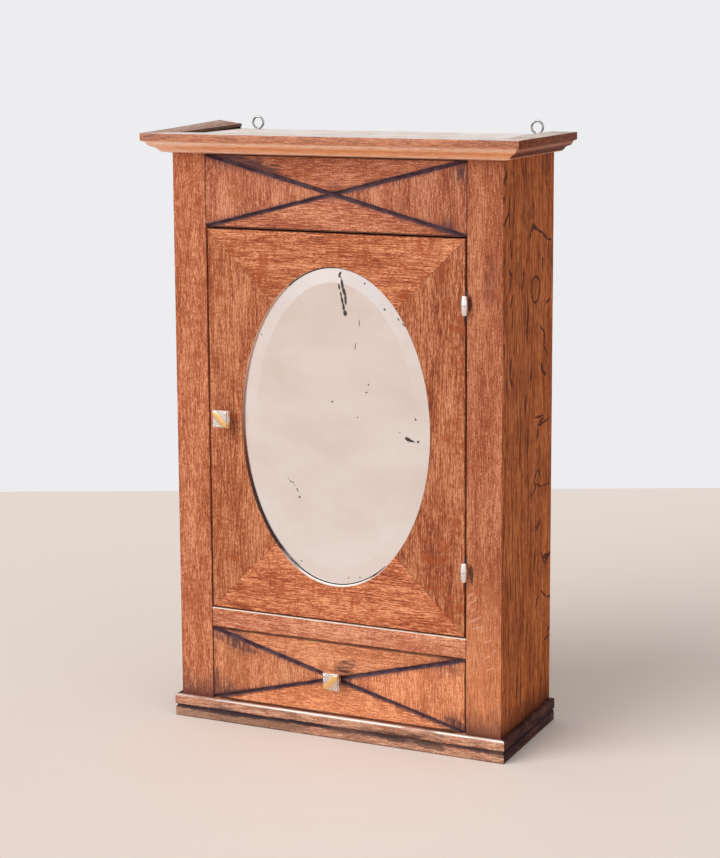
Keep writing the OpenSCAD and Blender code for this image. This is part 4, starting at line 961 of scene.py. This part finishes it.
# The bevel was ground by hand and is less even than the flat, so it blurs what it shows
blur = overlap(tree, (on_glass.normal["Y"], -0.9985, -0.9965, 0.06, 0.2))
shade(silvered, {"Roughness": blur, "Metallic": overlap(tree, (bare, 0.0, 1.0, 1.0, 0.15))})

glass = grow("mirror_glass_finished", [(0, 0, 0)], mirror_tree(), {
    "Half width": (glass_high.x - glass_low.x) / 2, "Half height": (glass_high.z - glass_low.z) / 2,
    "Bevel": 20.5 * MM, "Edge thickness": 2.0 * MM, "Thickness": glass_high.y - glass_low.y,
    "Material": silvered})
glass.data.transform(Matrix.Translation((glass_mid.x, glass_high.y, glass_mid.z)))
# The bevel leans by only 6 degrees, and its inner edge is crisp
glass.data.set_sharp_from_angle(angle=math.radians(2.5))
fit(glass, "door")

fit(board("mirror_backing", "z", ease=0.3 * MM), "door", ply)

# Sprigs: headless nails pushed into the wall of the rebate, half their length over the backing board
sprig_angles = (6, 29, 70, 108, 151, 182, 207, 254, 288, 333)
sprig_l, sprig_d = 10.0 * MM, 1.4 * MM
sprig_low, sprig_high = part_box("mirror_sprigs")
rebate = 6.0 * MM
wall_a, wall_b = oval_a + rebate, oval_b + rebate
sprig_places, sprig_turns = [], []
for degrees in sprig_angles:
    t = math.radians(degrees)
    lean = math.atan2(math.sin(t) / wall_b, math.cos(t) / wall_a)
    inward = sprig_l / 2
    sprig_places.append((glass_mid.x + wall_a * math.cos(t) - inward * math.cos(lean),
                         (sprig_low.y + sprig_high.y) / 2,
                         glass_mid.z + wall_b * math.sin(t) - inward * math.sin(lean)))
    sprig_turns.append((0, -math.pi / 2 - lean, 0))
sprigs = grow("mirror_sprigs_finished", sprig_places, pins, {
    "Face radius": sprig_d / 2, "Under radius": sprig_d / 2, "Head height": 1.0 * MM,
    "Shank radius": sprig_d / 2, "Length": sprig_l, "Slot width": 0.0, "Material": wire_steel},
    turns=sprig_turns)
fit(sprigs, "door")


# Hinges: two olive lift-off hinges of nickelled brass, let into the edges of stile and door. The half
# knuckle on the case carries a steel pin on which the door's half turns. Slotted screws hold the leaves.
# Nickel on brass, buffed: silvery, with yellowish worn places
nickel = metal("nickel_plated_worn", "#EFEBEC", 0.28, "#C9AE98", 5, 0.5, 0.7, 0.6)
# In the gap beside the knuckles, the leaves are painted black, a painted shade in the gap
front_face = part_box("stile_right")[0].y
lay(nickel, "#1E1514", (spot(nickel).place["Y"], front_face - 0.6 * MM, front_face + 0.2 * MM), 0.95)
for level_name in ("upper", "lower"):
    for carrier, body in (("case", "cabinet"), ("door", "door")):
        leaf = cad_copy(f"hinge_{carrier}_leaf_{level_name}", ease=0.15 * MM, smooth=35)
        fit(leaf, body, nickel)
fit(cad_copy("hinge_pins", ease=0.2 * MM, smooth=35), "cabinet", wire_steel)

screw_l, screw_head, screw_shank, screw_gap = 14.0 * MM, 5.4 * MM, 2.7 * MM, 20 * MM
for carrier, body, sign in (("case", "cabinet", 1), ("door", "door", -1)):
    low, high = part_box(f"hinge_screws_{carrier}")
    head_x = low.x if sign > 0 else high.x
    places = []
    for level_name in ("upper", "lower"):
        leaf_low, leaf_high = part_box(f"hinge_{carrier}_leaf_{level_name}")
        places += [(head_x, (low.y + high.y) / 2, (leaf_low.z + leaf_high.z) / 2 + s * screw_gap / 2)
                   for s in (-1, 1)]
    screws = grow(f"hinge_screws_{carrier}_finished", places, pins, {
        "Face radius": screw_head / 2, "Under radius": screw_shank / 2, "Head height": 1.2 * MM,
        "Shank radius": screw_shank / 2, "Length": screw_l, "Slot width": 0.8 * MM, "Material": wire_steel},
        turns=[(0, -sign * math.pi / 2, 0)] * len(places))
    fit(screws, body)


# Door knob and latch: a cast brass head, square with a bevelled face, nickelled once and worn back to brass,
# with filed hatching in two corners. Its spindle goes through the door to a steel tongue and a nut.
def knob_brass(name, low, high, across):
    """Brass under worn nickel: a bare band down the middle, square to across, and nickel left in the hatched
    corners.
    The bevels that face up and to the left are painted near-white, a painted highlight. The hatching is full
    of dirt."""
    material = metal(name, "#EFC083", 0.33, "#DDA567", 4, 0.5, 0.7, 0.5)
    on = spot(material)
    tree, at, depth = on.tree, on.at, on.place["Y"]
    from_middle = vector_maths(tree, "SUBTRACT", at, (low + high) / 2)
    far = vector_maths(tree, "DOT_PRODUCT", from_middle, across)
    far = maths(tree, "ABSOLUTE", far.outputs["Value"])
    in_corner = overlap(tree, (far, 2.6 * MM, 4.0 * MM), pattern(tree, at, (5, 5, 5), 0.30, 0.50, detail=3.0))
    normal = add_node(tree, "ShaderNodeNewGeometry").outputs["Normal"]
    highlit_bevels = vector_maths(tree, "DOT_PRODUCT", normal, (-1, 0, 1))
    highlit_bevels = overlap(tree, (highlit_bevels.outputs["Value"], 0.3, 0.5))
    nickel_and_highlight = maths(tree, "MAXIMUM", in_corner, highlit_bevels)
    lay(material, "#F6F3F3", nickel_and_highlight, 0.9)
    lay(material, "#4E4038", (depth, low.y + 0.15 * MM, low.y + 0.5 * MM),
        (depth, low.y + 0.9 * MM, low.y + 0.7 * MM), 0.85)
    return material


slant = 0.707
for knob, body, across in (
        ("door_knob", "latch", (slant, 0, slant)), ("drawer_knob", "drawer", (-slant, 0, slant))):
    worn_brass = knob_brass(f"brass_under_nickel_{body}", *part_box(knob), across)
    fit(cad_copy(knob, ease=0.15 * MM), body, worn_brass)
# Brass, turned, dulled to a flat yellow
plain_brass = metal("brass_turned", "#C79F63", 0.32, "#7E5F35", 4, 0.45, 0.65, 0.6)
fit(cad_copy("door_knob_spindle", ease=0.3 * MM, smooth=35), "latch", plain_brass)
# Mild steel, cut from sheet and filed, dulled by rust
sheet_steel = metal("steel_sheet_filed", "#8F8C88", 0.42, "#5E4636", 7, 0.45, 0.65, 0.7, scratch=0.3)
for fitting in ("latch_tongue", "latch_nut"):
    fit(cad_copy(fitting, ease=0.3 * MM, smooth=35), "latch", sheet_steel)


# Drawer: a front with the same crossed facings as the frieze, nailed sides, and a bottom that slides in
# grooves. Its knob is bolted through the front. Stain has run at the lower corners of the facings.
drawer_low, drawer_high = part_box("drawer_facing_left")[0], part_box("drawer_facing_right")[1]
drawer_smudges = ((-0.92, -0.8, 20), (-0.8, 0.72, 18), (0.86, 0.82, 16), (0.06, 0.1, 16), (0.92, -0.9, 20))
drawer_oak = crossed_oak("oak_facing_stained_drawer", drawer_low, drawer_high, "#9C5838", "#C47852",
                         "#E4A277", drawer_smudges)
# Broad smears along the left grooves, at the left edge, above the knob and at the lower right
on_drawer = spot(drawer_oak)
smeared = marks(on_drawer, (
    (-112, 31, 64, 8, 78), (-136, 42, 30, 6, 4), (-114, 83.5, 58, 9, 106), (12, 75.5, 22, 13, 60),
    (129, 32, 26, 9, 112)), 1, 5.0)
feathered = pattern(on_drawer.tree, on_drawer.grain, (16, 1.8, 1.8), 0.30, 0.58, detail=3.0)
lay(drawer_oak, "#4A3034", smeared, feathered, 0.75)
for side, along, tone in (
        ("left", "z", -0.06), ("right", "z", 0.17), ("top", "x", 0.02), ("bottom", "x", 0.23)):
    facing = board(f"drawer_facing_{side}", along, tone, ease=0.25 * MM)
    fit(facing, "drawer", drawer_oak)
fit(board("drawer_front", "x", ease=0.4 * MM), "drawer", drawer_oak)
for inner, along, slot, wood in (
        ("side_left", "y", "oak_inside", inside_oak), ("side_right", "y", "oak_inside", inside_oak),
        ("back", "x", "oak_inside", inside_oak), ("bottom", "x", "thin_board", ply)):
    fit(board("drawer_" + inner, along, ease=0.5 * MM), "drawer", wood)
fit(cad_copy("drawer_knob_bolt", ease=0.3 * MM, smooth=35), "drawer", plain_brass)
fit(cad_copy("drawer_knob_nut", ease=0.3 * MM, smooth=35), "drawer", sheet_steel)
